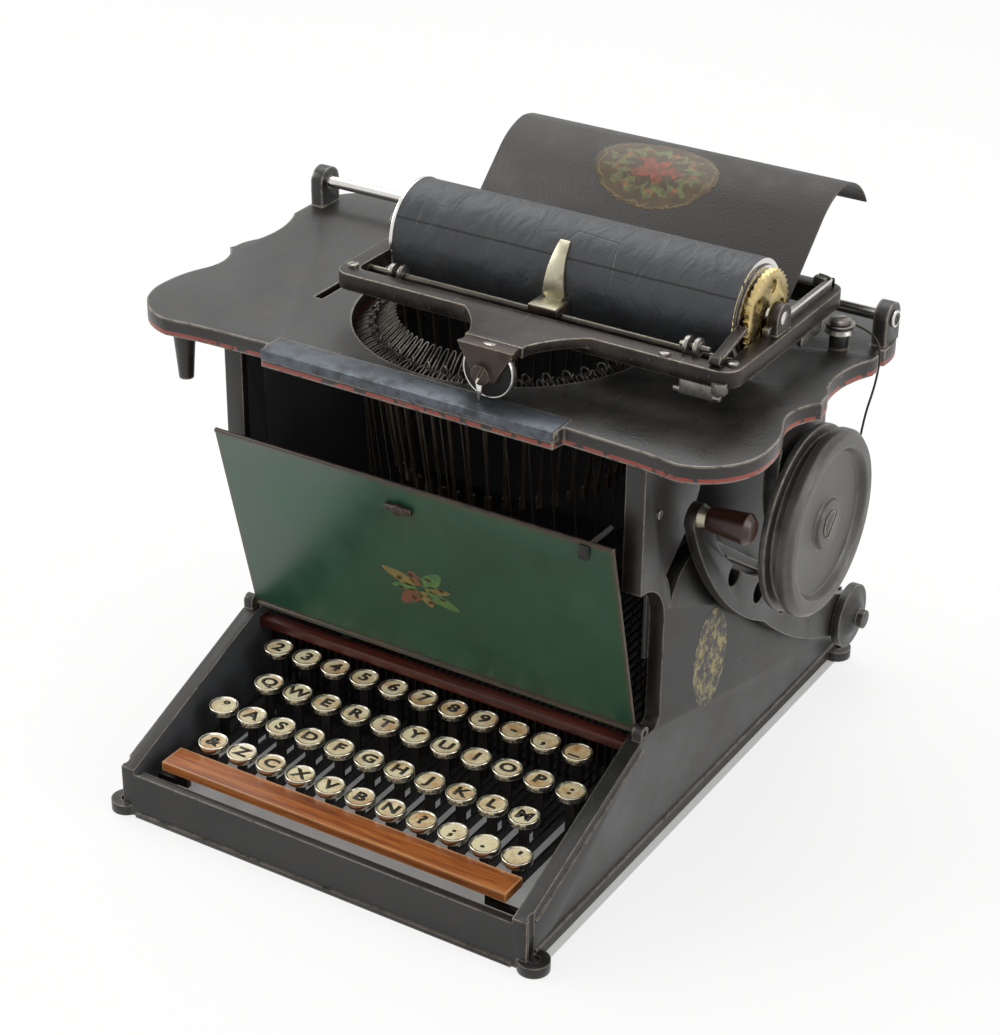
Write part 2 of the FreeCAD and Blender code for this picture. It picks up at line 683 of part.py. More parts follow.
def build_space_bar():
    """Wooden bar on two arms that share the levers' pivot rod."""
    half = size("bar_half_length")
    bar = block("wooden_bar", (-half, size("bar_front"), size("bar_height")),
                (half * 2, size("bar_width"), size("bar_thick")))
    lever_top = size("lever_height") + size("lever_deep") / 2
    pieces = [bar]
    middle = size("bar_front") + size("bar_width") / 2
    for side, way in (("right", 1), ("left", -1)):
        arm_x = size("bar_arm_out") * way - size("lever_thick") / 2
        front = middle - 5.0
        long = from_rear("pivot_inset") + size("lever_tail") - front
        arm = block(side + "_arm", (arm_x, front, lever_top - size("lever_deep")),
                    (size("lever_thick"), long, size("lever_deep")))
        bore = rod(side + "_arm_bore", (arm_x - 1.0, from_rear("pivot_inset"), size("lever_height")),
                   size("pivot_radius") + size("running_gap"), size("lever_thick") + 2.0, "X")
        arm_cut = cut(side + "_arm_lever", arm, [bore])
        foot_x = size("bar_half_length") - 14.0
        cross_start = foot_x if way > 0 else -size("bar_arm_out")
        cross = block(side + "_cross", (cross_start, front, lever_top - 3.0),
                      (size("bar_arm_out") - foot_x, 3.0, 3.0))
        post_x = foot_x if way > 0 else -foot_x - 3.0
        post = block(side + "_post_up", (post_x, front, lever_top - 3.0),
                     (3.0, 3.0, size("bar_height") - lever_top + 3.0))
        pieces.append(fuse(side + "_bar_arm", [arm_cut, cross, post]))
    sub_part("space_bar", group("space_bar", pieces))


def build_cover():
    """Keyboard cover leaning on its stay, and the turn catch near its edge."""
    lean = Rotation(Vector(1, 0, 0), value_of(size("cover_lean")))
    lean_text = size("cover_lean").text
    half = size("cover_half_width")
    long = size("cover_length")
    thick = size("cover_thick")
    sheet_panel = block("cover_sheet", (-half, 0.0, 0.0), (half * 2, thick, long))
    edge = rod("cover_edge", (-half, thick / 2, long), 1.3, half * 2, "X")
    pin_half = size("inner_half_width") + size("side_thick") - 1.0
    hinge = rod("cover_hinge", (-pin_half, 0.0, 0.0), size("cover_pin_radius"), pin_half * 2, "X")
    panel = fuse("cover_panel", [sheet_panel, edge, hinge])
    panel.Placement = Placement(Vector(), lean)
    panel.setExpression("Placement.Rotation.Angle", lean_text)
    place(panel, 0.0, size("cover_back"), size("cover_height"))
    sub_part("front_cover", group("front_cover", [panel]))
    drop = long - size("catch_drop")
    disc = rod("catch_disc", (0.0, -3.2, drop), 3.4, 3.2 - size("running_gap"), "Y")
    wing = block("catch_wing", (-8.0, -2.4, drop - 2.0), (16.0, 1.8, 4.0))
    catch = fuse("catch_turn", [disc, wing])
    catch.Placement = Placement(Vector(), lean)
    catch.setExpression("Placement.Rotation.Angle", lean_text)
    place(catch, -6.0, size("cover_back"), size("cover_height"))
    sub_part("cover_catch", group("cover_catch", [catch]))


def rounded_box(low_x, high_x, low_y, high_y, radius):
    """A rectangle with round corners, drawn anticlockwise."""
    return [
        (low_x + radius, low_y),
        (high_x - radius, low_y, radius, 1),
        (high_x, low_y + radius),
        (high_x, high_y - radius, radius, 1),
        (high_x - radius, high_y),
        (low_x + radius, high_y, radius, 1),
        (low_x, high_y - radius),
        (low_x, low_y + radius, radius, 1),
    ]


def build_carriage():
    """Sleeve on the rail, and the frame that lifts about it."""
    mid = size("carriage_offset")
    rail_y = size("rail_back")
    rail_z = size("rail_height")
    gap = size("running_gap")
    half = size("sleeve_half_length")
    sleeve = rod("sleeve_solid", (mid - half, rail_y, rail_z), size("sleeve_radius"), half * 2, "X")
    bore = rod("sleeve_bore", (mid - half - 1.0, rail_y, rail_z),
               size("rail_radius") + gap, half * 2 + 2.0, "X")
    sub_part("carriage_sleeve", group("carriage_sleeve", [cut("sleeve_tube", sleeve, [bore])]))
    top = size("frame_top")
    deep = size("frame_deep")
    bar = size("frame_bar")
    low_x = mid - size("frame_half_length")
    high_x = mid + size("frame_half_length")
    front = size("frame_front")
    rear = size("frame_rear")
    corner = size("frame_corner")
    ring = plate("frame_ring", "XY_Plane", top - deep, deep, [
        rounded_box(low_x, high_x, front, rear, corner),
        rounded_box(low_x + bar, high_x - bar, front + bar, rear - bar, corner / 2),
    ])
    nose = size("nose_reach")
    wide = size("nose_half_width")
    nose_plate = plate("frame_nose", "XY_Plane", top - deep * 0.6, deep * 0.6, [[
        (mid - wide * 2.2, front + 1.0, 60.0, -1),
        (mid - wide, nose + 4.0),
        (mid - wide, nose),
        (mid + wide, nose),
        (mid + wide, nose + 4.0, 60.0, -1),
        (mid + wide * 2.4, front + 1.0),
        (mid + wide * 2.4, front + 6.0),
        (mid - wide * 2.2, front + 6.0),
    ]])
    apron_low = 24.0
    nose_drop = block("nose_drop", (mid - 10.0, nose, top - apron_low), (20.0, 4.0, apron_low - 1.0))
    knuckles = []
    inner_bores = []
    for side, way in (("right", 1), ("left", -1)):
        centre = mid + size("knuckle_out") * way
        start = centre - size("knuckle_length") / 2
        knuckles.append(rod(side + "_knuckle", (start, rail_y, rail_z),
                            size("knuckle_radius"), size("knuckle_length"), "X"))
        knuckles.append(block(side + "_hinge_arm", (start, rear - 3.0, rail_z + 4.5),
                              (size("knuckle_length"), rail_y - rear + 3.0, top - rail_z - 7.0)))
        inner_bores.append(rod(side + "_knuckle_bore", (start - 1.0, rail_y, rail_z),
                               size("sleeve_radius") + gap, size("knuckle_length") + 2.0, "X"))
    bearings = []
    platen_y = size("basket_back")
    platen_z = size("platen_height")
    thick = size("bearing_thick")
    overlap = 1.5
    bearing_starts = (("right_bearing", high_x - bar + overlap),
                      ("left_bearing", low_x + bar - overlap - thick))
    for name, start in bearing_starts:
        bearings.append(block(name + "_foot", (start, platen_y - size("bearing_radius"), top - 1.0),
                              (thick, size("bearing_radius") * 2, platen_z - top + 1.0)))
        bearings.append(rod(name, (start, platen_y, platen_z), size("bearing_radius"), thick, "X"))
    axle_bore = rod("axle_bore", (low_x - 5.0, platen_y, platen_z),
                    size("platen_axle_radius") + gap, size("frame_half_length") * 2 + 10.0, "X")
    solid = fuse("frame_solid", [ring, nose_plate, nose_drop] + knuckles + bearings)
    solid = cut("frame_casting", solid, inner_bores + [axle_bore])
    wheel_z = size("plate_top") + gap + 0.5 + size("wheel_radius")
    wheel_y = size("wheel_back")
    wheel = rod("front_wheel", (mid, wheel_y, wheel_z), size("wheel_radius"), size("wheel_thick"), "Y")
    wheel_screw = rod("wheel_screw", (mid, wheel_y - 3.0, wheel_z), 4.0, 3.0, "Y")
    wheel_pin = rod("wheel_pin", (mid, wheel_y + size("wheel_thick"), wheel_z),
                    2.5, nose - wheel_y - size("wheel_thick"), "Y")
    rod_y = front + bar + 12.0
    finger_rod = rod("finger_rod", (low_x + bar - 1.0, rod_y, top - deep / 2), 2.2,
                     (size("frame_half_length") - bar + 1.0) * 2, "X")
    holder_reach = 13.7
    holder = block("finger_holder", (mid - 8.0, rod_y - 4.5, top - deep / 2 + 2.2),
                   (16.0, holder_reach, 3.5))
    inner_r = size("platen_radius") + 0.6
    outer_r = inner_r + 1.0
    blade = plate("finger_blade", "YZ_Plane", mid - 4.5, 9.0, [[
        (platen_y - inner_r * 0.906, platen_z - inner_r * 0.423),
        (platen_y - outer_r * 0.966, platen_z - outer_r * 0.423, outer_r, -1),
        (platen_y - outer_r * 0.643, platen_z + outer_r * 0.766),
        (platen_y - inner_r * 0.643, platen_z + inner_r * 0.766, inner_r, 1),
    ]])
    finger = fuse("paper_finger", [holder, blade])
    sub_part("carriage_frame", group("carriage_frame", [
        solid, fuse("front_wheel_on_pin", [wheel, wheel_screw, wheel_pin]), finger_rod, finger]))


def build_platen():
    """Covered roller on its axle, with end discs and the line ratchet."""
    mid = size("carriage_offset")
    y = size("basket_back")
    z = size("platen_height")
    half = platen_half()
    roller = rod("roller", (mid - half, y, z), size("platen_radius"), half * 2, "X")
    axle_half = size("frame_half_length") - 2.0
    axle = rod("axle", (mid - axle_half, y, z), size("platen_axle_radius"), axle_half * 2, "X")
    disc = rod("right_disc", (mid + half, y, z), size("platen_radius") - 3.0, 2.0, "X")
    ring = rod("left_disc", (mid - half - 2.0, y, z), size("platen_radius") + 0.4, 2.0, "X")
    pieces = [roller, axle, disc, ring]
    teeth = int(value_of(size("ratchet_teeth")))
    tip = value_of(size("ratchet_radius"))
    root = tip - 2.0
    start = mid + half + 3.5
    points = []
    for tooth in range(teeth):
        angle = 2 * math.pi * tooth / teeth
        after = 2 * math.pi * (tooth + 0.85) / teeth
        points.append(Vector(0, math.cos(angle) * tip, math.sin(angle) * tip))
        points.append(Vector(0, math.cos(after) * root, math.sin(after) * root))
    face = Part.Face(Part.makePolygon(points + points[:1]))
    wheel = face.extrude(Vector(value_of(size("ratchet_thick")), 0, 0))
    holes = 5
    hole_out = 14.0
    hole_radius = 3.4
    for number in range(holes):
        angle = 2 * math.pi * number / holes
        spot = Vector(-5, math.cos(angle) * hole_out, math.sin(angle) * hole_out)
        hole = Part.makeCylinder(hole_radius, 20, spot, Vector(1, 0, 0))
        wheel = wheel.cut(hole)
    ratchet = doc.addObject("Part::Feature", "line_ratchet")
    ratchet.Shape = wheel
    place(ratchet, start, y, z)
    pieces.append(ratchet)
    sub_part("platen", group("platen", [fuse("platen_roller", pieces)]))


def build_paper_table():
    """Curled sheet behind the platen on two feet."""
    mid = size("carriage_offset")
    half = size("table_half_length")
    crest_y = value_of(size("table_crest_back"))
    crest_z = value_of(size("frame_top")) + value_of(size("table_rise"))
    low_z = value_of(size("frame_top")) - 5.5
    thick = value_of(size("table_thick"))

    def curve(shift):
        """One face of the sheet: three arcs from behind the platen to the curl."""
        low = Vector(0, crest_y - 62 + shift * 0.8, low_z - shift * 0.6)
        slope = Vector(0, crest_y - 26 + shift * 0.6, crest_z - 12.5 - shift * 0.8)
        crest = Vector(0, crest_y, crest_z - shift)
        over = Vector(0, crest_y + 20 - shift * 0.6, crest_z - 6.5 - shift * 0.8)
        curl = Vector(0, crest_y + 32 - shift, crest_z - 19.5)
        return low, slope, crest, over, curl

    top = curve(0.0)
    bottom = curve(thick)
    edges = [
        Part.LineSegment(top[0], top[1]).toShape(),
        Part.Arc(top[1], Vector(0, crest_y - 13.5, crest_z - 3.6), top[2]).toShape(),
        Part.Arc(top[2], top[3], top[4]).toShape(),
        Part.LineSegment(top[4], bottom[4]).toShape(),
        Part.Arc(bottom[4], bottom[3], bottom[2]).toShape(),
        Part.Arc(bottom[2], Vector(0, crest_y - 13.5 + thick * 0.35, crest_z - 3.6 - thick * 0.95),
                 bottom[1]).toShape(),
        Part.LineSegment(bottom[1], bottom[0]).toShape(),
        Part.LineSegment(bottom[0], top[0]).toShape(),
    ]
    curved = Part.Face(Part.Wire(edges)).extrude(Vector(value_of(half) * 2, 0, 0))
    table = doc.addObject("Part::Feature", "table_sheet")
    table.Shape = curved
    place(table, mid - half, 0.0, 0.0)
    return table


def build_table_feet():
    """Two brackets that carry the paper table on the frame's rear bar."""
    mid = size("carriage_offset")
    sheet_drop = 26.5
    feet = []
    for side, way in (("right", 1), ("left", -1)):
        x = mid + (size("table_half_length") - 16.0) * way - 4.0
        feet.append(block(side + "_table_foot",
                          (x, size("frame_rear") - size("frame_bar"), size("frame_top")),
                          (8.0, size("frame_bar") - 1.0, size("table_rise") - sheet_drop)))
    return feet


def build_pawl():
    """Line pawl lying from the frame's front corner to the ratchet."""
    x = size("carriage_offset") + platen_half() + 2.5
    top = size("frame_top")
    eye_inset = 5.0
    tooth_gap = 2.6
    reach = (size("basket_back") - size("ratchet_radius") - size("frame_front") - eye_inset
             - tooth_gap) * 1.03
    arm = block("pawl_arm", (0.0, 0.0, -0.8), (size("ratchet_thick") + 3.0, reach, 1.6))
    eye = rod("pawl_eye", (0.0, 0.0, 0.0), 2.4, size("ratchet_thick") + 3.0, "X")
    pawl = fuse("pawl_solid", [arm, eye])
    rise = 15.0
    pawl.Placement = Placement(Vector(), Rotation(Vector(1, 0, 0), rise))
    place(pawl, x, size("frame_front") + eye_inset, top + 2.4 + size("running_gap"))
    sub_part("line_pawl", group("line_pawl", [pawl]))


def build_drum():
    """Mainspring drum with its dished face and the groove for the cord."""
    radius = value_of(size("drum_radius"))
    thick = value_of(size("drum_thick"))
    groove = value_of(size("groove_radius"))
    width = value_of(size("groove_width"))
    bore = value_of(size("stud_radius")) + value_of(size("running_gap"))
    face = thick
    corners = [
        (bore, 0.0), (radius - 1.0, 0.0), (radius, 1.0), (radius, 4.0), (groove, 5.0),
        (groove, 5.0 + width - 1.0), (radius, 6.0 + width - 1.0), (radius, face - 3.0),
        (radius - 3.0, face), (radius - 9.0, face), (radius - 12.0, face - 4.0),
        (14.0, face - 4.0), (12.5, face - 1.5), (8.5, face - 1.5), (bore, face - 1.5),
    ]
    points = [Vector(up, across, 0) for across, up in corners]
    profile = Part.Face(Part.makePolygon(points + points[:1]))
    turned = profile.revolve(Vector(0, 0, 0), Vector(1, 0, 0), 360)
    drum = doc.addObject("Part::Feature", "drum_shell")
    drum.Shape = turned
    place(drum, from_edge("drum_inset") - size("drum_thick"), size("drum_back"), size("drum_height"))
    sub_part("mainspring_drum", group("mainspring_drum", [drum]))


def build_pulley():
    """Cord pulley lying flat on its post."""
    radius = size("pulley_radius")
    thick = size("pulley_thick")
    seat = size("plate_top") + size("pulley_rise")
    spot = (from_edge("pulley_inset"), size("pulley_back"), seat)
    low = cone("pulley_low", spot, radius, radius - 1.2, thick / 2)
    high = cone("pulley_high", (spot[0], spot[1], seat + thick / 2), radius - 1.2, radius, thick / 2)
    bore = rod("pulley_bore", (spot[0], spot[1], seat - 1.0), size("running_gap") + 2.5, thick + 2.0)
    wheel = cut("pulley_wheel", fuse("pulley_solid", [low, high]), [bore])
    sub_part("cord_pulley", group("cord_pulley", [wheel]))


def build_return_lever():
    """Openwork arm on the rear stud, with its cap and turned wooden grip."""
    inner = size("return_inner")
    thick = size("return_thick")
    pivot_y = from_rear("return_inset")
    pivot_z = size("return_height")
    grip_y = size("grip_back")
    grip_z = size("grip_height")
    lower = plate("arm_solid", "YZ_Plane", inner, thick, [[
        (pivot_y, pivot_z - 13.0, 13.0, 1),
        (pivot_y + 9.0, pivot_z + 9.4, 200.0, -1),
        (pivot_y - 70.0, pivot_z + 66.0, 160.0, -1),
        (grip_y + 22.0, grip_z - 28.0),
        (grip_y + 6.0, grip_z + 4.0, 8.6, 1),
        (grip_y - 7.0, grip_z - 4.0, 190.0, 1),
        (pivot_y - 110.0, pivot_z + 50.0, 300.0, 1),
    ]])
    windows = []
    spots = ((0.15, 6.8), (0.33, 6.8), (0.52, 6.8), (0.71, 5.9))
    for number, (share, radius) in enumerate(spots):
        y = grip_y + 16.0 + (pivot_y - grip_y - 16.0) * share
        z = grip_z - 20.0 - (grip_z - 20.0 - pivot_z) * share ** 0.72
        windows.append(rod("arm_window_%d" % number, (inner - 1.0, y, z), radius, thick + 2.0, "X"))
    eye = rod("arm_eye", (inner - 1.0, pivot_y, pivot_z),
              size("return_stud_radius") + size("running_gap"), thick + 2.0, "X")
    arm = cut("lever_arm", lower, windows + [eye])
    cap_start = inner + thick + 0.6
    boss = rod("boss_disc", (cap_start, pivot_y, pivot_z), size("return_boss"), 5.0, "X")
    dome = cone("boss_dome", (cap_start + 5.0, pivot_y, pivot_z),
                size("return_boss") - 5.0, 7.0, 4.0, "X")
    knob = rod("boss_knob", (cap_start + 9.0, pivot_y, pivot_z), 5.5, 4.0, "X")
    collar = block("boss_link", (inner + thick - 0.5, pivot_y - 12.5, pivot_z - 3.0),
                   (1.6, 4.5, 6.0))
    cap = fuse("lever_cap", [boss, dome, knob])
    grip_start = inner + thick
    ferrule = cone("grip_ferrule", (grip_start, grip_y, grip_z), 6.0, 4.8, 5.0, "X")
    wood = cone("grip_wood", (grip_start + 5.0, grip_y, grip_z), 6.4, size("grip_radius"),
                size("grip_length") - 6.0, "X")
    tip = cone("grip_tip", (grip_start - 1.0 + size("grip_length"), grip_y, grip_z),
               size("grip_radius"), 5.5, 3.0, "X")
    grip = fuse("lever_grip", [wood, tip])
    sub_part("return_lever", group("return_lever", [
        fuse("lever_casting", [arm, collar, cap]), ferrule, grip]))


def build_basket():
    """Type ring under the plate, its hanging type bars and their wires."""
    under = value_of(size("plate_top")) - value_of(size("plate_thick"))
    hole = value_of(size("basket_hole_radius"))
    wide = value_of(size("ring_width"))
    deep = value_of(size("ring_thick"))
    centre_y = value_of(size("basket_back"))
    count = int(value_of(size("type_bars")))
    bar_long = value_of(size("type_bar_length"))
    bar_radius = value_of(size("type_bar_radius"))
    wire_radius = value_of(size("wire_radius"))
    lever_top = value_of(size("lever_height")) + value_of(size("lever_deep")) / 2
    outer = hole + 4.0
    inner = outer - wide
    middle = Vector(0, centre_y, under - deep)
    ring = Part.makeCylinder(outer, deep, middle).cut(Part.makeCylinder(inner, deep, middle))
    solids = [ring]
    pitch = value_of(size("key_pitch")) / 4
    first = value_of(size("first_lever"))
    hang = inner - bar_radius - 1.4
    for number in range(count):
        share = (number // 2 + 0.5) / (count / 2)
        angle = math.pi * share
        way = -1 if number % 2 else 1
        across = -math.cos(angle)
        along = way * math.sin(angle)
        radial = Vector(across, along, 0)
        top = Vector(0, centre_y, under + 3.0) + radial * hang
        low = Vector(0, centre_y, under + 3.0 - bar_long) + radial * (hang - 12.0)
        lean = low - top
        bar = Part.makeCylinder(bar_radius, lean.Length, top, lean)
        block_size = 3.0
        head = Part.makeBox(block_size, block_size, 6.0, Vector(-block_size / 2, -block_size / 2, 0))
        facing = Rotation(Vector(0, 0, 1), math.degrees(math.atan2(along, across)))
        head.Placement = Placement(low, facing)
        hook = Part.makeBox(6.5, 2.0, 2.0, Vector(-0.2, -1.0, -1.0))
        hook.Placement = Placement(
            Vector(0, centre_y, under - deep - 1.0) + radial * (hang - 0.5), facing)
        solids.append(bar.fuse([head, hook]))
        wire_top = Vector(0, centre_y, under - deep - 2.6) + radial * (inner + 4.0)
        wire_low = Vector(pitch * number - first, wire_top.y * 0.55 + centre_y * 0.45, lever_top + 0.5)
        run = wire_low - wire_top
        solids.append(Part.makeCylinder(wire_radius, run.Length, wire_top, run))
    basket = doc.addObject("Part::Feature", "basket_solids")
    basket.Shape = Part.makeCompound(solids)
    sub_part("type_basket", group("type_basket", [basket]))


def build_cord():
    """Draw cord from the pulley over the plate's edge down to the drum."""
    radius = value_of(size("cord_radius"))
    edge = value_of(size("plate_half_width"))
    top = value_of(size("plate_top"))
    pulley_x = value_of(from_edge("pulley_inset"))
    pulley_y = value_of(size("pulley_back"))
    middle = top + value_of(size("pulley_rise")) + value_of(size("pulley_thick")) / 2
    reach = value_of(size("pulley_radius")) - 1.2 + radius + 0.3
    drum_back_face = value_of(from_edge("drum_inset")) - value_of(size("drum_thick"))
    groove_x = drum_back_face + 5.0 + value_of(size("groove_width")) / 2
    drum_y = value_of(size("drum_back")) + value_of(size("groove_radius")) + radius + 0.3
    drum_z = value_of(size("drum_height"))
    notch_y = pulley_y + value_of(size("cord_side"))
    route = [
        Vector(pulley_x, pulley_y + reach, middle),
        Vector(pulley_x + 10.0, pulley_y + reach - 0.3, middle - 0.6),
        Vector(edge - 1.3, notch_y + 0.2, top + 5.0),
        Vector(edge - 1.5, notch_y, top - 15.0),
        Vector(groove_x + 2.0, drum_y, top - 45.0),
        Vector(groove_x, drum_y, drum_z),
    ]
    edges = []
    start = route[0]
    radii = []
    for before, corner, after in zip(route, route[1:], route[2:]):
        into = (corner - before)
        out = (after - corner)
        turn = into.getAngle(out)
        shorter = min(into.Length, out.Length)
        trim = 0.45 * shorter
        radii.append(trim / math.tan(turn / 2))
        arc_in = corner - into.normalize() * trim
        arc_out = corner + out.normalize() * trim
        centre_line = (arc_in + arc_out) * 0.5 - corner
        bow = radii[-1] / math.cos(turn / 2) - radii[-1]
        middle_point = corner + centre_line.normalize() * bow
        edges.append(Part.LineSegment(start, arc_in).toShape())
        edges.append(Part.Arc(arc_in, middle_point, arc_out).toShape())
        start = arc_out
    edges.append(Part.LineSegment(start, route[-1]).toShape())
    path = Part.Wire(edges)
    section = Part.Wire(Part.Circle(route[0], route[1] - route[0], radius).toShape())
    tube = path.makePipeShell([section], True, False)
    print("cord radii", ["%.1f" % amount for amount in radii], "length %.1f" % path.Length)
    print("cord volume ratio %.4f" % (tube.Volume / (path.Length * math.pi * radius ** 2)))
    cord = doc.addObject("Part::Feature", "cord_tube")
    cord.Shape = tube
    sub_part("draw_cord", group("draw_cord", [cord]))


build_base()
build_top()
build_keys()
build_space_bar()
build_cover()
build_carriage()
build_platen()
table_sheet = build_paper_table()
sub_part("paper_table", group("paper_table", [table_sheet] + build_table_feet()))
build_pawl()
build_drum()
build_pulley()
build_return_lever()
build_basket()
build_cord()
doc.recompute()

for thing in doc.Objects:
    if "Invalid" in thing.State or "Error" in thing.State:
        raise RuntimeError("failed: %s %s" % (thing.Label, thing.State))
for piece in SUB_PARTS:
    if piece.Shape.isNull() or not piece.Shape.isValid():
        raise RuntimeError("bad shape: " + piece.Label)

os.makedirs("parts", exist_ok=True)
for piece in SUB_PARTS:
    piece.Shape.exportStep("parts/%s.step" % piece.Label)
whole = Part.makeCompound([piece.Shape for piece in SUB_PARTS]).BoundBox
print("sub-parts", len(SUB_PARTS))
print("box X %.2f %.2f Y %.2f %.2f Z %.2f %.2f" % (
    whole.XMin, whole.XMax, whole.YMin, whole.YMax, whole.ZMin, whole.ZMax))
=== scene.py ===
"""An early up-strike typewriter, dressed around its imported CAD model.

Every place below is given by at(x, y, z) in millimetres: x from the middle
to the typist's right, y from the front apron to the rear, z from the desk.
"""
import json
import math
import bmesh
import bpy
from bpy.props import FloatProperty, PointerProperty, StringProperty
from mathutils import Matrix, Vector

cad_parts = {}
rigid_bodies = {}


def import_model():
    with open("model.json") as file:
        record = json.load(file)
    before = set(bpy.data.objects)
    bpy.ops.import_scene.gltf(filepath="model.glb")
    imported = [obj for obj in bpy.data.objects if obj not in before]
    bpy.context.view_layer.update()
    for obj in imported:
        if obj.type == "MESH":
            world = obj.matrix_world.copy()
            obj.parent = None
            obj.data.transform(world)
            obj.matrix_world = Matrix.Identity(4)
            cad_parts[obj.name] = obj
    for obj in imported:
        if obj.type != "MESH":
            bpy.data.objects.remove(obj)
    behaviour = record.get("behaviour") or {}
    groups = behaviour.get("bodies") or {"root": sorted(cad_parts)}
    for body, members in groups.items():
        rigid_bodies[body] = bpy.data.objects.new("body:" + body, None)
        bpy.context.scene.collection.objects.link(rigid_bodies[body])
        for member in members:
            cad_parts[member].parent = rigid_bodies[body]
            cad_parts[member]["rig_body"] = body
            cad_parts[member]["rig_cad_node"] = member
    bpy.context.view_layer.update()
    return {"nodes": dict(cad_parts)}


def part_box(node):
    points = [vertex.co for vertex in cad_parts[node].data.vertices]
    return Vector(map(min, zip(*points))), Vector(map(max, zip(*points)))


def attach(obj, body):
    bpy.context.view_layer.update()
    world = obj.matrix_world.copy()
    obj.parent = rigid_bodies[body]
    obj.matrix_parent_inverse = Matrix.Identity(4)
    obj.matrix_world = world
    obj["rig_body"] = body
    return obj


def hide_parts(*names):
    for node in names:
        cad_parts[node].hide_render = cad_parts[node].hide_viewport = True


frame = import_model()

bl_info = {
    "name": "Up-strike typewriter",
    "version": (1, 0, 0),
    "blender": (4, 5, 0),
    "location": "3D view > Sidebar > Typewriter",
    "description": "Dresses the packed typewriter with its finishes and small pieces",
    "category": "Object",
}

# Measured places and sizes in millimetres, and angles in radians.
MM = 0.001
APRON_TO_CENTRE = 178.5
COVER_LEAN = math.radians(14.0)
COVER_HINGE = (114.6, 76.0)
SIDE_FACE = 126.0
LEVER_PITCH = 4.7625
LINING_BAND = (241.9, 243.7)
BASKET_BACK = 187.0
FRONT_RIGHT = (math.radians(285.0), math.radians(345.0))
CARRIAGE_MIDDLE = 41.0
CARRIAGE_TOP = 280.1
PLATEN_AXLE = (CARRIAGE_MIDDLE, BASKET_BACK, 287.4)
DRUM_AXLE_END = (176.0, 207.6, 170.6)
KEY_RING_RADIUS = 8.2
KEY_RING_THICK = 3.4
CORD_ROUTE = ((158.5, 253.7, 261.55), (168.5, 253.4, 260.95), (179.2, 252.2, 255.3),
              (179.0, 252.0, 235.3), (171.5, 253.5, 205.3), (169.5, 253.5, 170.6))
CORD_DIAMETER = 1.2

# Prints: how thick their film is, and the paper table's oval (middle, half width and height).
PRINT_FILM = 0.08
OVAL_MIDDLE = (38.0, 268.0)
OVAL_HALF = (36.0, 18.0)

# Keys: the letters of each row, the outline added to a letter in metres, how
# deep the paper lies in its ring, and how far the ink stands on it.
LEGENDS = ("23456789-,_", "QWERTYUIOP:", "°ASDFGHJKLM", "&ZCXVBN?;.'")
LETTER_WEIGHT = 0.00045
PAPER_DEPTH = 0.4
LETTER_RISE = 0.12

# Wire hangers round the basket: name, wire against the usual one, how many,
# where the first stands, and the bends as (out, sideways, up).
HANGERS = (
    ("low_loop", 1.0, 88, 0.25, (
        (86.0, -1.7, 240.6), (79.0, -1.7, 245.6), (73.0, -1.5, 247.6), (71.2, 0.0, 248.0),
        (73.0, 1.5, 247.6), (79.0, 1.7, 245.6), (86.0, 1.7, 240.6))),
    ("hairpin", 1.0, 88, 0.75, (
        (78.5, -1.5, 240.0), (70.0, -1.5, 247.0), (62.0, -1.4, 254.0), (60.4, 0.0, 255.6),
        (62.0, 1.4, 254.0), (70.0, 1.5, 247.0), (78.5, 1.5, 240.0))),
    ("curl", 1.1, 44, 0.5, (
        (77.0, 2.4, 240.0), (75.0, 2.6, 246.0), (73.0, 1.2, 251.0), (71.4, -1.6, 251.6),
        (71.8, -2.2, 247.8), (73.6, -0.4, 245.6), (75.2, 1.2, 247.4), (74.6, 2.8, 250.4))))

# The camera: azimuth, elevation and roll in degrees, then how far it stands
# to the right, up and back in its own directions.
CAMERA_TURN = (31.464, 28.685, 0.665)
CAMERA_PLACE = (94.269, 190.438, 1298.68)
CAMERA_LENS = 87.93

# Lamps: name, place in metres, width in metres, watts.
LAMPS = (("Top softbox", (-0.5, 0.55, 1.7), 1.5, 15.0),
         ("Left softbox", (-1.7, -0.6, 1.1), 1.1, 16.0),
         ("Right softbox", (1.9, 0.1, 1.0), 1.2, 15.0))
LAMP_AIM = Vector((0, 0, 0.15))

# Faces that meet below this angle are shaded as one curve.
SMOOTH_BELOW = math.radians(38.0)


def at(x, y, z):
    """A measured place in millimetres as a point of the row frame."""
    return Vector((x, y - APRON_TO_CENTRE, z)) * MM


def on_cover(x, out, up):
    """A place on the leaning cover: out from its green face, up from its hinge."""
    y = COVER_HINGE[0] - out * math.cos(COVER_LEAN) - up * math.sin(COVER_LEAN)
    z = COVER_HINGE[1] - out * math.sin(COVER_LEAN) + up * math.cos(COVER_LEAN)
    return at(x, y, z)


def linear(hex_colour):
    """An sRGB hex colour as linear red, green, blue and alpha."""
    parts = [int(hex_colour[i:i + 2], 16) / 255 for i in (1, 3, 5)]
    return [p / 12.92 if p <= 0.04045 else ((p + 0.055) / 1.055) ** 2.4 for p in parts] + [1.0]


def only(*items):
    """Select these objects and nothing else, and make the first one active."""
    bpy.ops.object.select_all(action="DESELECT")
    for item in items:
        item.select_set(True)
    bpy.context.view_layer.objects.active = items[0]


def named(name):
    """Name the object that an operator has just made."""
    item = bpy.context.active_object
    item.name = name
    item.data.name = name
    return item


def settle(item):
    """Put the object's place, turn and scale into its mesh."""
    only(item)
    bpy.ops.object.transform_apply(location=True, rotation=True, scale=True)
    return item


def joined(name, items):
    """Several meshes as one piece."""
    only(*items)
    if len(items) > 1:
        bpy.ops.object.join()
    return named(name)


def copied(item, name):
    """A copy with a mesh of its own."""
    twin = item.copy()
    twin.data = item.data.copy()
    twin.name = name
    twin.data.name = name
    bpy.context.scene.collection.objects.link(twin)
    return twin


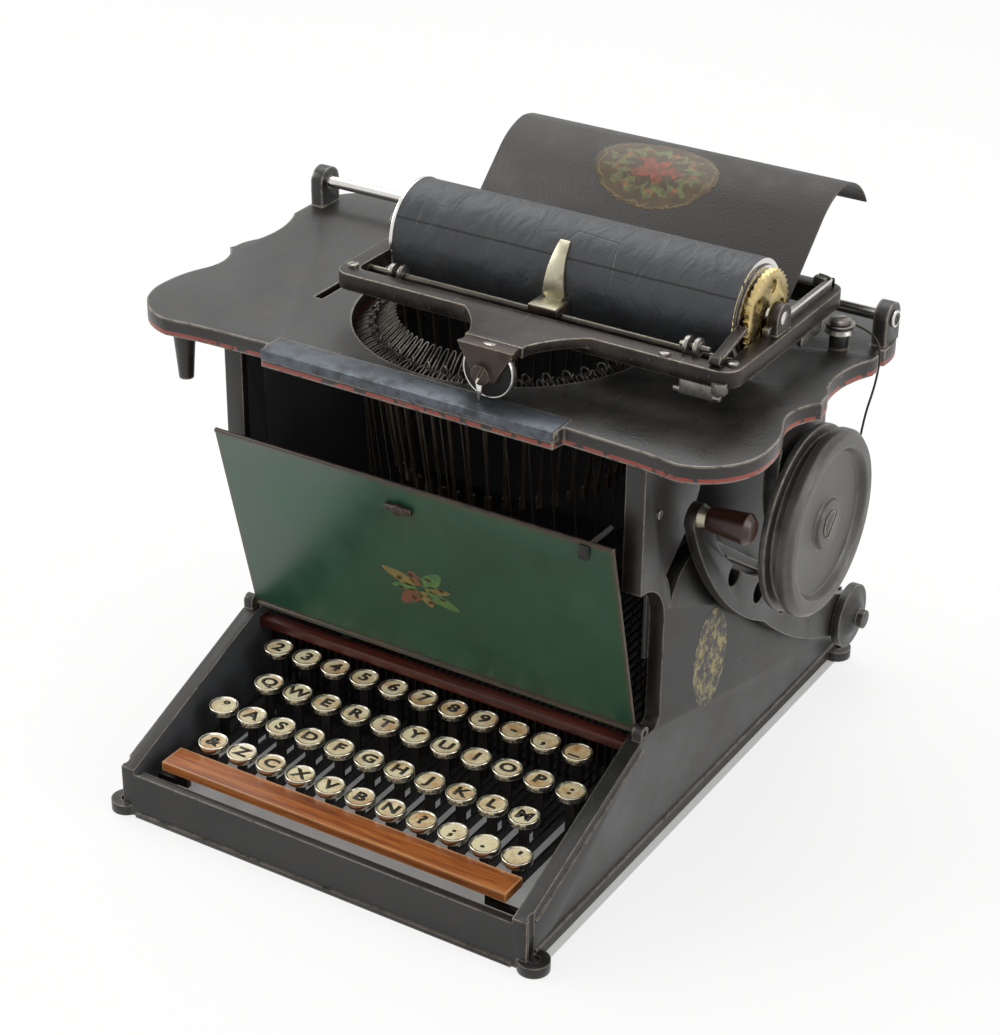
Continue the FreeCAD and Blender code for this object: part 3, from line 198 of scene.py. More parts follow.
def smooth(item):
    """Shade the rounded faces smooth and keep the real corners."""
    only(item)
    bpy.ops.object.shade_smooth_by_angle(angle=SMOOTH_BELOW)
    return item


def rounded(item, width, segments=2, angle=35.0):
    """Round the corners as casting, stamping or wear does."""
    bevel = item.modifiers.new("Rounded edges", "BEVEL")
    bevel.width = width * MM
    bevel.segments = segments
    bevel.limit_method = "ANGLE"
    bevel.angle_limit = math.radians(angle)
    only(item)
    bpy.ops.object.modifier_apply(modifier=bevel.name)
    return smooth(item)


def within(spot, low, high):
    """Whether a place lies between two corners."""
    return all(low[axis] <= spot[axis] <= high[axis] for axis in range(3))


def select_faces(item, wanted):
    """In edit mode, select the faces whose centre and normal are wanted."""
    mesh = bmesh.from_edit_mesh(item.data)
    bpy.ops.mesh.select_all(action="DESELECT")
    bpy.ops.mesh.select_mode(type="FACE")
    for face in mesh.faces:
        face.select_set(wanted(face.calc_center_median(), face.normal))
    bmesh.update_edit_mesh(item.data)


def stepped(item, direction, steps):
    """Inset the end face that looks along direction, then raise or sink it.

    Each step is (inset, rise) in millimetres.
    """
    only(item)
    heading = Vector(direction).normalized()
    reach = max(vertex.co.dot(heading) for vertex in item.data.vertices)
    bpy.ops.object.mode_set(mode="EDIT")
    select_faces(item, lambda centre, normal: normal.dot(heading) > 0.99
                 and centre.dot(heading) > reach - 0.01 * MM)
    for inset, rise in steps:
        bpy.ops.mesh.inset(thickness=inset * MM, depth=rise * MM, use_boundary=True)
    bpy.ops.object.mode_set(mode="OBJECT")
    return item


def slab(name, low, high, soft=0.4, segments=2):
    """A block between two corners, its edges rounded."""
    low, high = at(*low), at(*high)
    bpy.ops.mesh.primitive_cube_add(size=1.0, location=(low + high) / 2, scale=high - low)
    return rounded(settle(named(name)), soft, segments)


def wedge(name, low, high, direction, scale, soft=0.4):
    """A block between two corners, narrowed towards one end, its edges rounded."""
    low, high = at(*low), at(*high)
    middle = (low + high) / 2
    bpy.ops.mesh.primitive_cube_add(size=1.0, location=middle, scale=high - low)
    item = settle(named(name))
    heading = Vector(direction)
    end = middle + heading * abs((high - low).dot(heading)) / 2
    bpy.ops.object.mode_set(mode="EDIT")
    select_faces(item, lambda centre, normal: normal.dot(heading) > 0.9)
    bpy.ops.transform.resize(value=scale, center_override=end)
    bpy.ops.object.mode_set(mode="OBJECT")
    return rounded(item, soft)


def bar(name, start, end, radius, sides=20, soft=0.0, steps=()):
    """A round bar between two places, with steps turned on its far end."""
    start, end = at(*start), at(*end)
    run = end - start
    bpy.ops.mesh.primitive_cylinder_add(
        vertices=sides, radius=radius * MM, depth=run.length, location=(start + end) / 2,
        rotation=run.to_track_quat("Z", "Y").to_euler())
    item = settle(named(name))
    if steps:
        stepped(item, run, steps)
    return rounded(item, soft, 2) if soft else smooth(item)


def round_curve(name, places, radius, resolution, sides):
    """A round curve that runs from the first place to the last."""
    curve = bpy.data.curves.new(name, "CURVE")
    curve.dimensions = "3D"
    line = curve.splines.new("NURBS")
    line.points.add(len(places) - 1)
    for spot, place in zip(line.points, places):
        spot.co = (*at(*place), 1.0)
    line.order_u = 3
    line.use_endpoint_u = True
    curve.resolution_u = resolution
    curve.bevel_depth = radius * MM
    curve.bevel_resolution = sides
    curve.use_fill_caps = True
    item = bpy.data.objects.new(name, curve)
    bpy.context.scene.collection.objects.link(item)
    return item


def wire(name, places, radius, sides=2):
    """A bent wire through several places, as a mesh."""
    only(round_curve(name, places, radius, 5, sides))
    bpy.ops.object.convert(target="MESH")
    return smooth(named(name))


def screw(name, centre, heading, radius, rise=1.4, slot_turn=0.5):
    """A slotted screw head that sits on a face."""
    centre = at(*centre)
    heading = Vector(heading).normalized()
    turn = heading.to_track_quat("Z", "Y")
    bpy.ops.mesh.primitive_cylinder_add(
        vertices=24, radius=radius * MM, depth=rise * MM,
        location=centre + heading * rise * MM / 2, rotation=turn.to_euler())
    head = settle(named(name))
    stepped(head, heading, [(radius * 0.18, rise * 0.22)])
    tool_turn = turn.to_matrix().to_4x4() @ Matrix.Rotation(slot_turn, 4, "Z")
    bpy.ops.mesh.primitive_cube_add(size=1.0, location=centre + heading * rise * 1.3 * MM)
    tool = named(name + "_slot")
    tool.matrix_world = (Matrix.Translation(tool.location) @ tool_turn
                         @ Matrix.Diagonal((radius * 3 * MM, radius * 0.24 * MM, rise * MM, 1)))
    cut = head.modifiers.new("Slot", "BOOLEAN")
    cut.object = tool
    only(head)
    bpy.ops.object.modifier_apply(modifier=cut.name)
    bpy.data.objects.remove(tool)
    return smooth(head)


def cad_copy(node, name, flat=0.6):
    """A merged copy of a CAD node, with its flat faces joined up."""
    item = copied(frame["nodes"][node], name)
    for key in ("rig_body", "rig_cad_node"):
        if key in item:
            del item[key]
    item.parent = None
    item.data.materials.clear()
    only(item)
    bpy.ops.mesh.customdata_custom_splitnormals_clear()
    bpy.ops.object.mode_set(mode="EDIT")
    bpy.ops.mesh.select_all(action="SELECT")
    bpy.ops.mesh.remove_doubles(threshold=0.002 * MM)
    bpy.ops.mesh.dissolve_limited(angle_limit=math.radians(flat))
    bpy.ops.object.mode_set(mode="OBJECT")
    return item


def coat(item, finishes, choose=None):
    """Give the piece its finishes; choose picks one by a face's centre and normal."""
    item.data.materials.clear()
    for finish in finishes:
        item.data.materials.append(bpy.data.materials[finish])
    for face in item.data.polygons:
        face.material_index = choose(face.center, face.normal) if choose else 0
    return item


def ride(item, body, slot, *nodes):
    """Let the piece move with its body, in place of these CAD nodes."""
    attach(item, body)
    if nodes:
        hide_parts(*nodes)
    return item


def feed(tree, item, links):
    """Give each socket its value, or the output that it reads."""
    for socket, source in links.items():
        if isinstance(source, bpy.types.NodeSocket):
            tree.links.new(source, item.inputs[socket])
        else:
            item.inputs[socket].default_value = source


def add(tree, kind, links=None, stops=(), **settings):
    """Add a shader node with its settings and what its sockets take.

    stops are the places and hex colours of a colour ramp.
    """
    item = tree.nodes.new(kind)
    for name, value in settings.items():
        setattr(item, name, value)
    if stops:
        elements = item.color_ramp.elements
        while len(elements) < len(stops):
            elements.new(1.0)
        for element, (place, tone) in zip(elements, stops):
            element.position = place
            element.color = linear(tone)
    feed(tree, item, links or {})
    return item


def new_finish(name):
    """An empty material, its node tree, its shader and the object coordinates."""
    finish = bpy.data.materials.new(name)
    finish.use_nodes = True
    tree = finish.node_tree
    tree.nodes.clear()
    shader = add(tree, "ShaderNodeBsdfPrincipled")
    add(tree, "ShaderNodeOutputMaterial", {"Surface": shader.outputs[0]})
    spot = add(tree, "ShaderNodeTexCoord").outputs["Object"]
    return tree, shader, spot


def worn_finish(name, colours, worn, rough, size, edge=0.8, wear=0.5, metallic=0.0,
                worn_metallic=0.5, grain=0.6, bump=0.08, band=None, scratches=0.0):
    """A coated or darkened metal that is rubbed through along its edges.

    colours are the two shades it drifts between over `size` millimetres,
    worn is what shows where it is rubbed, and on the japan, the plate and the
    carriage frame it is also a painted highlight along the edge lines; edge is the
    rubbed width, grain is the size of the coat's fine relief, and band is a painted
    line (lowest z, highest z, colour) on the upright faces.
    """
    tree, shader, spot = new_finish(name)
    drift = add(tree, "ShaderNodeTexNoise", {"Vector": spot, "Scale": 1000 / size, "Detail": 6.0,
                                             "Roughness": 0.62})
    colour = add(tree, "ShaderNodeValToRGB", {"Fac": drift.outputs["Fac"]},
                 ((0.36, colours[0]), (0.68, colours[1]))).outputs["Color"]
    place = add(tree, "ShaderNodeNewGeometry")
    if band:
        parts = add(tree, "ShaderNodeSeparateXYZ", {"Vector": spot})
        middle, half = (band[0] + band[1]) / 2 * MM, (band[1] - band[0]) / 2 * MM
        inside = add(tree, "ShaderNodeMath", {0: parts.outputs["Z"], 1: middle, 2: half},
                     operation="COMPARE")
        facing = add(tree, "ShaderNodeSeparateXYZ", {"Vector": place.outputs["Normal"]})
        upright = add(tree, "ShaderNodeMath", {0: facing.outputs["Z"], 1: 0.0, 2: 0.55},
                      operation="COMPARE")
        rubbed = add(tree, "ShaderNodeTexNoise", {"Vector": spot, "Scale": 1000 / 9.0,
                                                  "Detail": 4.0})
        kept = add(tree, "ShaderNodeMath", {0: rubbed.outputs["Fac"], 1: 0.43},
                   operation="GREATER_THAN")
        both = add(tree, "ShaderNodeMath", {0: inside.outputs[0], 1: upright.outputs[0]},
                   operation="MULTIPLY")
        line = add(tree, "ShaderNodeMath", {0: both.outputs[0], 1: kept.outputs[0]},
                   operation="MULTIPLY")
        colour = add(tree, "ShaderNodeMix", {"Factor": line.outputs[0], 6: colour,
                                             7: linear(band[2])}, data_type="RGBA").outputs[2]
    # The pale tone along the edges is rubbed-through coat, and on the japan, the plate and the
    # carriage frame it is also a painted highlight along the edge lines.
    rim = add(tree, "ShaderNodeBevel", {"Radius": edge * MM}, samples=4)
    turn = add(tree, "ShaderNodeVectorMath", {0: rim.outputs[0], 1: place.outputs["Normal"]},
               operation="DOT_PRODUCT")
    patch = add(tree, "ShaderNodeTexNoise", {"Vector": spot, "Scale": 1000 / 7.0, "Detail": 5.0,
                                             "Roughness": 0.7})
    bent = add(tree, "ShaderNodeMapRange", {"Value": turn.outputs["Value"], "From Min": 0.995,
                                            "From Max": 0.9, "To Min": 0.0, "To Max": wear * 1.8})
    speck = add(tree, "ShaderNodeMapRange", {"Value": patch.outputs["Fac"], "From Min": 0.32,
                                             "From Max": 0.62, "To Min": 0.0, "To Max": 1.0})
    share = add(tree, "ShaderNodeMath", {0: bent.outputs[0], 1: speck.outputs[0]},
                operation="MULTIPLY").outputs[0]
    if scratches:
        stretched = add(tree, "ShaderNodeMapping", {"Vector": spot, "Rotation": (0.0, 0.3, 0.5),
                                                    "Scale": (900.0, 60.0, 260.0)})
        marks = add(tree, "ShaderNodeTexNoise", {"Vector": stretched.outputs[0], "Scale": 1.0,
                                                 "Detail": 2.0})
        shown = add(tree, "ShaderNodeMapRange", {"Value": marks.outputs["Fac"], "From Min": 0.68,
                                                 "From Max": 0.76, "To Min": 0.0,
                                                 "To Max": scratches})
        share = add(tree, "ShaderNodeMath", {0: share, 1: shown.outputs[0]},
                    operation="MAXIMUM").outputs[0]
    colour = add(tree, "ShaderNodeMix", {"Factor": share, 6: colour, 7: linear(worn)},
                 data_type="RGBA").outputs[2]
    dull = add(tree, "ShaderNodeMapRange", {"Value": drift.outputs["Fac"], "From Min": 0.3,
                                            "From Max": 0.7, "To Min": rough * 0.8,
                                            "To Max": min(rough * 1.3, 1.0)})
    relief = add(tree, "ShaderNodeTexNoise", {"Vector": spot, "Scale": 1000 / grain,
                                              "Detail": 3.0})
    raised = add(tree, "ShaderNodeBump", {"Height": relief.outputs["Fac"], "Strength": bump,
                                          "Distance": 0.3 * MM})
    metal = add(tree, "ShaderNodeMapRange", {"Value": share, "To Min": metallic,
                                             "To Max": worn_metallic})
    feed(tree, shader, {"Base Color": colour, "Roughness": dull.outputs[0],
                        "Metallic": metal.outputs[0], "Normal": raised.outputs[0]})


def wood_finish(name, colours, rough, worn=None):
    """A plain-sawn hardwood: long dark pores over slow bands, under old shellac.

    The grain runs across the machine. worn is the bare wood along rubbed edges.
    """
    tree, shader, spot = new_finish(name)
    run = add(tree, "ShaderNodeMapping", {"Vector": spot, "Scale": (0.05, 1.0, 1.0)})
    bands = add(tree, "ShaderNodeTexNoise", {"Vector": run.outputs[0], "Scale": 1000 / 4.0,
                                             "Detail": 8.0, "Roughness": 0.6, "Distortion": 0.5})
    pores = add(tree, "ShaderNodeTexNoise", {"Vector": run.outputs[0], "Scale": 1000 / 0.7,
                                             "Detail": 2.0})
    shade = add(tree, "ShaderNodeValToRGB", {"Fac": bands.outputs["Fac"]},
                tuple(zip((0.3, 0.52, 0.72), colours)))
    dark = add(tree, "ShaderNodeMapRange", {"Value": pores.outputs["Fac"], "From Min": 0.3,
                                            "From Max": 0.5, "To Min": 0.55, "To Max": 1.0})
    colour = add(tree, "ShaderNodeMix", {"Factor": 1.0, 6: shade.outputs["Color"],
                                         7: dark.outputs[0]},
                 data_type="RGBA", blend_type="MULTIPLY").outputs[2]
    if worn:
        place = add(tree, "ShaderNodeNewGeometry")
        rim = add(tree, "ShaderNodeBevel", {"Radius": 2.2 * MM}, samples=4)
        turn = add(tree, "ShaderNodeVectorMath", {0: rim.outputs[0], 1: place.outputs["Normal"]},
                   operation="DOT_PRODUCT")
        bent = add(tree, "ShaderNodeMapRange", {"Value": turn.outputs["Value"], "From Min": 0.99,
                                                "From Max": 0.85, "To Min": 0.0, "To Max": 0.8})
        colour = add(tree, "ShaderNodeMix", {"Factor": bent.outputs[0], 6: colour,
                                             7: linear(worn)}, data_type="RGBA").outputs[2]
    raised = add(tree, "ShaderNodeBump", {"Height": pores.outputs["Fac"], "Strength": 0.2,
                                          "Distance": 0.2 * MM})
    feed(tree, shader, {"Base Color": colour, "Normal": raised.outputs[0], "Roughness": rough})


def metal_finish(name, colours, rough, size, stain, stain_share, drawn=False):
    """Bare metal with stains where it has tarnished.

    Drawn metal has fine lines across the machine, other metal an even grain.
    """
    tree, shader, spot = new_finish(name)
    drift = add(tree, "ShaderNodeTexNoise", {"Vector": spot, "Scale": 1000 / size, "Detail": 5.0,
                                             "Roughness": 0.65})
    shade = add(tree, "ShaderNodeMix", {"Factor": drift.outputs["Fac"], 6: linear(colours[0]),
                                        7: linear(colours[1])}, data_type="RGBA")
    scale = (40.0, 2500.0, 2500.0) if drawn else (900.0, 900.0, 900.0)
    run = add(tree, "ShaderNodeMapping", {"Vector": spot, "Scale": scale})
    lines = add(tree, "ShaderNodeTexNoise", {"Vector": run.outputs[0], "Scale": 1.0,
                                             "Detail": 3.0})
    tarnish = add(tree, "ShaderNodeTexNoise", {"Vector": spot, "Scale": 1000 / (size * 1.7),
                                               "Detail": 7.0, "Roughness": 0.7})
    share = add(tree, "ShaderNodeMapRange", {"Value": tarnish.outputs["Fac"],
                                             "From Min": 1.0 - stain_share - 0.12,
                                             "From Max": 1.0 - stain_share + 0.12})
    colour = add(tree, "ShaderNodeMix", {"Factor": share.outputs[0], 6: shade.outputs[2],
                                         7: linear(stain)}, data_type="RGBA")
    metal = add(tree, "ShaderNodeMapRange", {"Value": share.outputs[0], "To Min": 1.0,
                                             "To Max": 0.45})
    dull = add(tree, "ShaderNodeMapRange", {"Value": lines.outputs["Fac"], "From Min": 0.3,
                                            "From Max": 0.7, "To Min": rough * 0.75,
                                            "To Max": min(rough * 1.35, 1.0)})
    raised = add(tree, "ShaderNodeBump", {"Height": lines.outputs["Fac"], "Strength": 0.12,
                                          "Distance": 0.15 * MM})
    feed(tree, shader, {"Metallic": metal.outputs[0], "Base Color": colour.outputs[2],
                        "Roughness": dull.outputs[0], "Normal": raised.outputs[0]})


def rubber_finish(name):
    """Century-old platen rubber: hardened grey-black, crazed, with a glued seam."""
    tree, shader, spot = new_finish(name)
    drift = add(tree, "ShaderNodeTexNoise", {"Vector": spot, "Scale": 1000 / 24.0, "Detail": 6.0,
                                             "Roughness": 0.6})
    shade = add(tree, "ShaderNodeMix", {"Factor": drift.outputs["Fac"], 6: linear("#292a2c"),
                                        7: linear("#46484b")}, data_type="RGBA")
    run = add(tree, "ShaderNodeMapping", {"Vector": spot, "Scale": (1.0, 0.45, 0.45)})
    cells = add(tree, "ShaderNodeTexVoronoi", {"Vector": run.outputs[0], "Scale": 1000 / 26.0,
                                               "Randomness": 1.0}, feature="DISTANCE_TO_EDGE")
    crack = add(tree, "ShaderNodeMapRange", {"Value": cells.outputs["Distance"], "From Min": 0.0,
                                             "From Max": 0.012, "To Min": 0.16, "To Max": 0.0})
    chosen = add(tree, "ShaderNodeTexNoise", {"Vector": spot, "Scale": 1000 / 55.0, "Detail": 2.0})
    where = add(tree, "ShaderNodeMapRange", {"Value": chosen.outputs["Fac"], "From Min": 0.5,
                                             "From Max": 0.62})
    lines = add(tree, "ShaderNodeMath", {0: crack.outputs[0], 1: where.outputs[0]},
                operation="MULTIPLY")
    # The seam runs along the roller, at one angle round its axle.
    axle = at(*PLATEN_AXLE)
    parts = add(tree, "ShaderNodeSeparateXYZ", {"Vector": spot})
    across = add(tree, "ShaderNodeMath", {0: parts.outputs["Y"], 1: axle.y}, operation="SUBTRACT")
    upward = add(tree, "ShaderNodeMath", {0: parts.outputs["Z"], 1: axle.z}, operation="SUBTRACT")
    angle = add(tree, "ShaderNodeMath", {0: upward.outputs[0], 1: across.outputs[0]},
                operation="ARCTAN2")
    wander = add(tree, "ShaderNodeMath", {0: drift.outputs["Fac"], 1: 0.05, 2: angle.outputs[0]},
                 operation="MULTIPLY_ADD")
    seam = add(tree, "ShaderNodeMath", {0: wander.outputs[0], 1: 2.6, 2: 0.02},
               operation="COMPARE")
    marks = add(tree, "ShaderNodeMath", {0: lines.outputs[0], 1: seam.outputs[0]},
                operation="MAXIMUM")
    colour = add(tree, "ShaderNodeMix", {"Factor": marks.outputs[0], 6: shade.outputs[2],
                                         7: linear("#0b0b0c")}, data_type="RGBA")
    lumps = add(tree, "ShaderNodeTexNoise", {"Vector": run.outputs[0], "Scale": 1000 / 11.0,
                                             "Detail": 4.0, "Distortion": 1.2})
    rough = add(tree, "ShaderNodeMath", {0: drift.outputs["Fac"], 1: lumps.outputs["Fac"]},
                operation="ADD")
    sunk = add(tree, "ShaderNodeMath", {0: rough.outputs[0], 1: marks.outputs[0]},
               operation="SUBTRACT")
    raised = add(tree, "ShaderNodeBump", {"Height": sunk.outputs[0], "Strength": 0.8,
                                          "Distance": 1.6 * MM})
    dull = add(tree, "ShaderNodeMapRange", {"Value": drift.outputs["Fac"], "From Min": 0.3,
                                            "From Max": 0.7, "To Min": 0.34, "To Max": 0.56})
    feed(tree, shader, {"Base Color": colour.outputs[2], "Roughness": dull.outputs[0],
                        "Normal": raised.outputs[0]})


def decal_finish(name, ground, patches, share, size, rough=0.45):
    """A transfer print that has flaked: patches of colour over the ground.

    share is how much of the print is left, size that of its flakes.
    """
    tree, shader, spot = new_finish(name)
    blots = add(tree, "ShaderNodeTexNoise", {"Vector": spot, "Scale": 1000 / size, "Detail": 8.0,
                                             "Roughness": 0.75})
    tones = add(tree, "ShaderNodeTexNoise", {"Vector": spot, "Scale": 1000 / (size * 0.8),
                                             "Detail": 3.0})
    mix = add(tree, "ShaderNodeValToRGB", {"Fac": tones.outputs["Fac"]},
              ((0.4, patches[0]), (0.6, patches[1])))
    kept = add(tree, "ShaderNodeMapRange", {"Value": blots.outputs["Fac"],
                                            "From Min": 0.5 - (share - 0.5) - 0.04,
                                            "From Max": 0.5 - (share - 0.5) + 0.04})
    colour = add(tree, "ShaderNodeMix", {"Factor": kept.outputs[0], 6: linear(ground),
                                         7: mix.outputs["Color"]}, data_type="RGBA")
    feed(tree, shader, {"Base Color": colour.outputs[2], "Roughness": rough})


def paper_finish(name, clean, aged, dirty):
    """Key-top paper under celluloid, gone yellow and brown in blots."""
    tree, shader, spot = new_finish(name)
    drift = add(tree, "ShaderNodeTexNoise", {"Vector": spot, "Scale": 1000 / 24.0, "Detail": 7.0,
                                             "Roughness": 0.72})
    shade = add(tree, "ShaderNodeValToRGB", {"Fac": drift.outputs["Fac"]},
                ((0.44, clean), (0.66, aged)))
    dirt = add(tree, "ShaderNodeTexNoise", {"Vector": spot, "Scale": 1000 / 4.0, "Detail": 6.0,
                                            "Roughness": 0.8})
    grey = add(tree, "ShaderNodeMapRange", {"Value": dirt.outputs["Fac"], "From Min": 0.56,
                                            "From Max": 0.72, "To Min": 0.0, "To Max": 0.7})
    colour = add(tree, "ShaderNodeMix", {"Factor": grey.outputs[0], 6: shade.outputs["Color"],
                                         7: linear(dirty)}, data_type="RGBA")
    feed(tree, shader, {"Base Color": colour.outputs[2], "Roughness": 0.3})


def sprig(name, centre, across, up, out, length, petals, finishes, dots):
    """A generic rosette of flat leaves and dots, as a thin print on a face."""
    made = []
    for number in range(petals):
        angle = 2 * math.pi * number / petals + 0.26
        reach = length * (1.0 if number % 2 else 0.72)
        bpy.ops.mesh.primitive_circle_add(vertices=20, radius=1.0, fill_type="NGON")
        leaf = named("%s_leaf_%d" % (name, number))
        for vertex in leaf.data.vertices:
            along, wide = vertex.co.x, vertex.co.y
            spot = reach * (0.56 + 0.42 * along)
            side = reach * 0.17 * wide * (1.15 - 0.35 * along)
            x = spot * math.cos(angle) - side * math.sin(angle)
            y = spot * math.sin(angle) + side * math.cos(angle)
            vertex.co = centre + (across * x + up * y * 0.62) * MM
        leaf.data.materials.append(bpy.data.materials[finishes[number % len(finishes)]])
        made.append(leaf)
    for number in range(dots):
        angle = 2 * math.pi * (number + 0.5) / dots
        bpy.ops.mesh.primitive_circle_add(vertices=14, radius=1.0, fill_type="NGON")
        dot = named("%s_dot_%d" % (name, number))
        for vertex in dot.data.vertices:
            x = length * 0.52 * math.cos(angle) + vertex.co.x * length * 0.075
            y = length * 0.52 * math.sin(angle) + vertex.co.y * length * 0.075
            vertex.co = centre + (across * x + up * y * 0.62) * MM
        dot.data.materials.append(bpy.data.materials[finishes[-1]])
        made.append(dot)
    item = joined(name, made)
    only(item)
    bpy.ops.object.mode_set(mode="EDIT")
    bpy.ops.mesh.select_all(action="SELECT")
    film = {"value": out * PRINT_FILM * MM}
    bpy.ops.mesh.extrude_region_move(TRANSFORM_OT_translate=film)
    bpy.ops.mesh.select_all(action="SELECT")
    bpy.ops.mesh.normals_make_consistent(inside=False)
    bpy.ops.object.mode_set(mode="OBJECT")
    return item


def medallion_finish(name, centre, wide, tall, tones):
    """A worn generic oval print: a rosette in a wreath of leaves, with a rim.

    tones are the ground, the petals, the leaves, the rim and the ground's lighter clouds.
    """
    tree, shader, spot = new_finish(name)
    moved = add(tree, "ShaderNodeMapping", {"Vector": spot, "Location": tuple(-v for v in centre)},
                vector_type="POINT")
    even = add(tree, "ShaderNodeVectorMath", {0: moved.outputs[0],
                                              1: (1000 / wide, 1000 / tall, 0.0)},
               operation="MULTIPLY")
    brush = add(tree, "ShaderNodeTexNoise", {"Vector": spot, "Scale": 1000 / 6.0, "Detail": 4.0})
    strayed = add(tree, "ShaderNodeVectorMath", {0: brush.outputs["Color"], 1: (0.28, 0.4, 0.0),
                                                 2: even.outputs[0]}, operation="MULTIPLY_ADD")
    sized = add(tree, "ShaderNodeVectorMath", {0: strayed.outputs[0], 1: (0.14, 0.2, 0.0)},
                operation="SUBTRACT")
    out = add(tree, "ShaderNodeVectorMath", {0: sized.outputs[0]},
              operation="LENGTH").outputs["Value"]
    parts = add(tree, "ShaderNodeSeparateXYZ", {"Vector": sized.outputs[0]})
    angle = add(tree, "ShaderNodeMath", {0: parts.outputs["Y"], 1: parts.outputs["X"]},
                operation="ARCTAN2").outputs[0]

    def waves(count, turn):
        """Cosine of the angle, count times round the oval."""
        run = add(tree, "ShaderNodeMath", {0: angle, 1: count, 2: turn}, operation="MULTIPLY_ADD")
        return add(tree, "ShaderNodeMath", {0: run.outputs[0]}, operation="COSINE").outputs[0]

    def between(middle, half, sway, amount):
        """One where the distance from the centre, swayed by the waves, is in a band."""
        edge = add(tree, "ShaderNodeMath", {0: sway, 1: amount, 2: out}, operation="MULTIPLY_ADD")
        return add(tree, "ShaderNodeMath", {0: edge.outputs[0], 1: middle, 2: half},
                   operation="COMPARE").outputs[0]

    flaked = add(tree, "ShaderNodeTexNoise", {"Vector": spot, "Scale": 1000 / 3.5, "Detail": 7.0,
                                              "Roughness": 0.7})
    kept = add(tree, "ShaderNodeMapRange", {"Value": flaked.outputs["Fac"], "From Min": 0.38,
                                            "From Max": 0.66, "To Min": 0.1, "To Max": 0.9})
    colour = add(tree, "ShaderNodeMix", {"Factor": brush.outputs["Fac"], 6: linear(tones[0]),
                                         7: linear(tones[4])}, data_type="RGBA").outputs[2]
    petals = between(0.12, 0.2, waves(5.0, 0.4), -0.14)
    leaves = between(0.6, 0.11, waves(14.0, 0.0), 0.1)
    berries = add(tree, "ShaderNodeMath", {0: between(0.62, 0.05, waves(9.0, 1.0), 0.0),
                                           1: waves(9.0, 1.0)}, operation="MULTIPLY").outputs[0]
    rim = between(0.92, 0.02, waves(2.0, 0.0), 0.0)
    for mask, tone in ((leaves, tones[2]), (berries, tones[1]), (petals, tones[1]),
                       (rim, tones[3])):
        share = add(tree, "ShaderNodeMath", {0: mask, 1: kept.outputs[0]}, operation="MULTIPLY",
                    use_clamp=True)
        colour = add(tree, "ShaderNodeMix", {"Factor": share.outputs[0], 6: colour,
                                             7: linear(tone)}, data_type="RGBA").outputs[2]
    feed(tree, shader, {"Base Color": colour, "Roughness": 0.4})


class TypewriterColours(bpy.types.PropertyGroup):
    """Colours of the main finishes, as sRGB hex values."""
    japan: StringProperty(name="Japan black", description="Black oil varnish on the castings",
                          default="#161514")
    green: StringProperty(name="Cover green", description="Paint on the inside of the cover",
                          default="#1c422d")
    wood: StringProperty(name="Space bar", description="Middle tone of the space bar's wood",
                         default="#a45a26")
    lining: StringProperty(name="Lining red", description="Line painted round the top plate",
                           default="#8f3322")
    floor: StringProperty(name="Floor", description="Paper that the machine stands on",
                          default="#f4f3f1")


class TypewriterSizes(bpy.types.PropertyGroup):
    """Sizes that only the looks use."""
    casting_edge: FloatProperty(name="Casting edge", description="Rounding of the cast edges",
                                default=0.0011, min=0.0002, max=0.002, unit="LENGTH")
    legend: FloatProperty(name="Legend height", description="Height of a key's letter",
                          default=0.0102, min=0.004, max=0.012, unit="LENGTH")
    hook_wire: FloatProperty(name="Hanger wire", description="Radius of a type bar's hanger",
                             default=0.0005, min=0.0003, max=0.0015, unit="LENGTH")


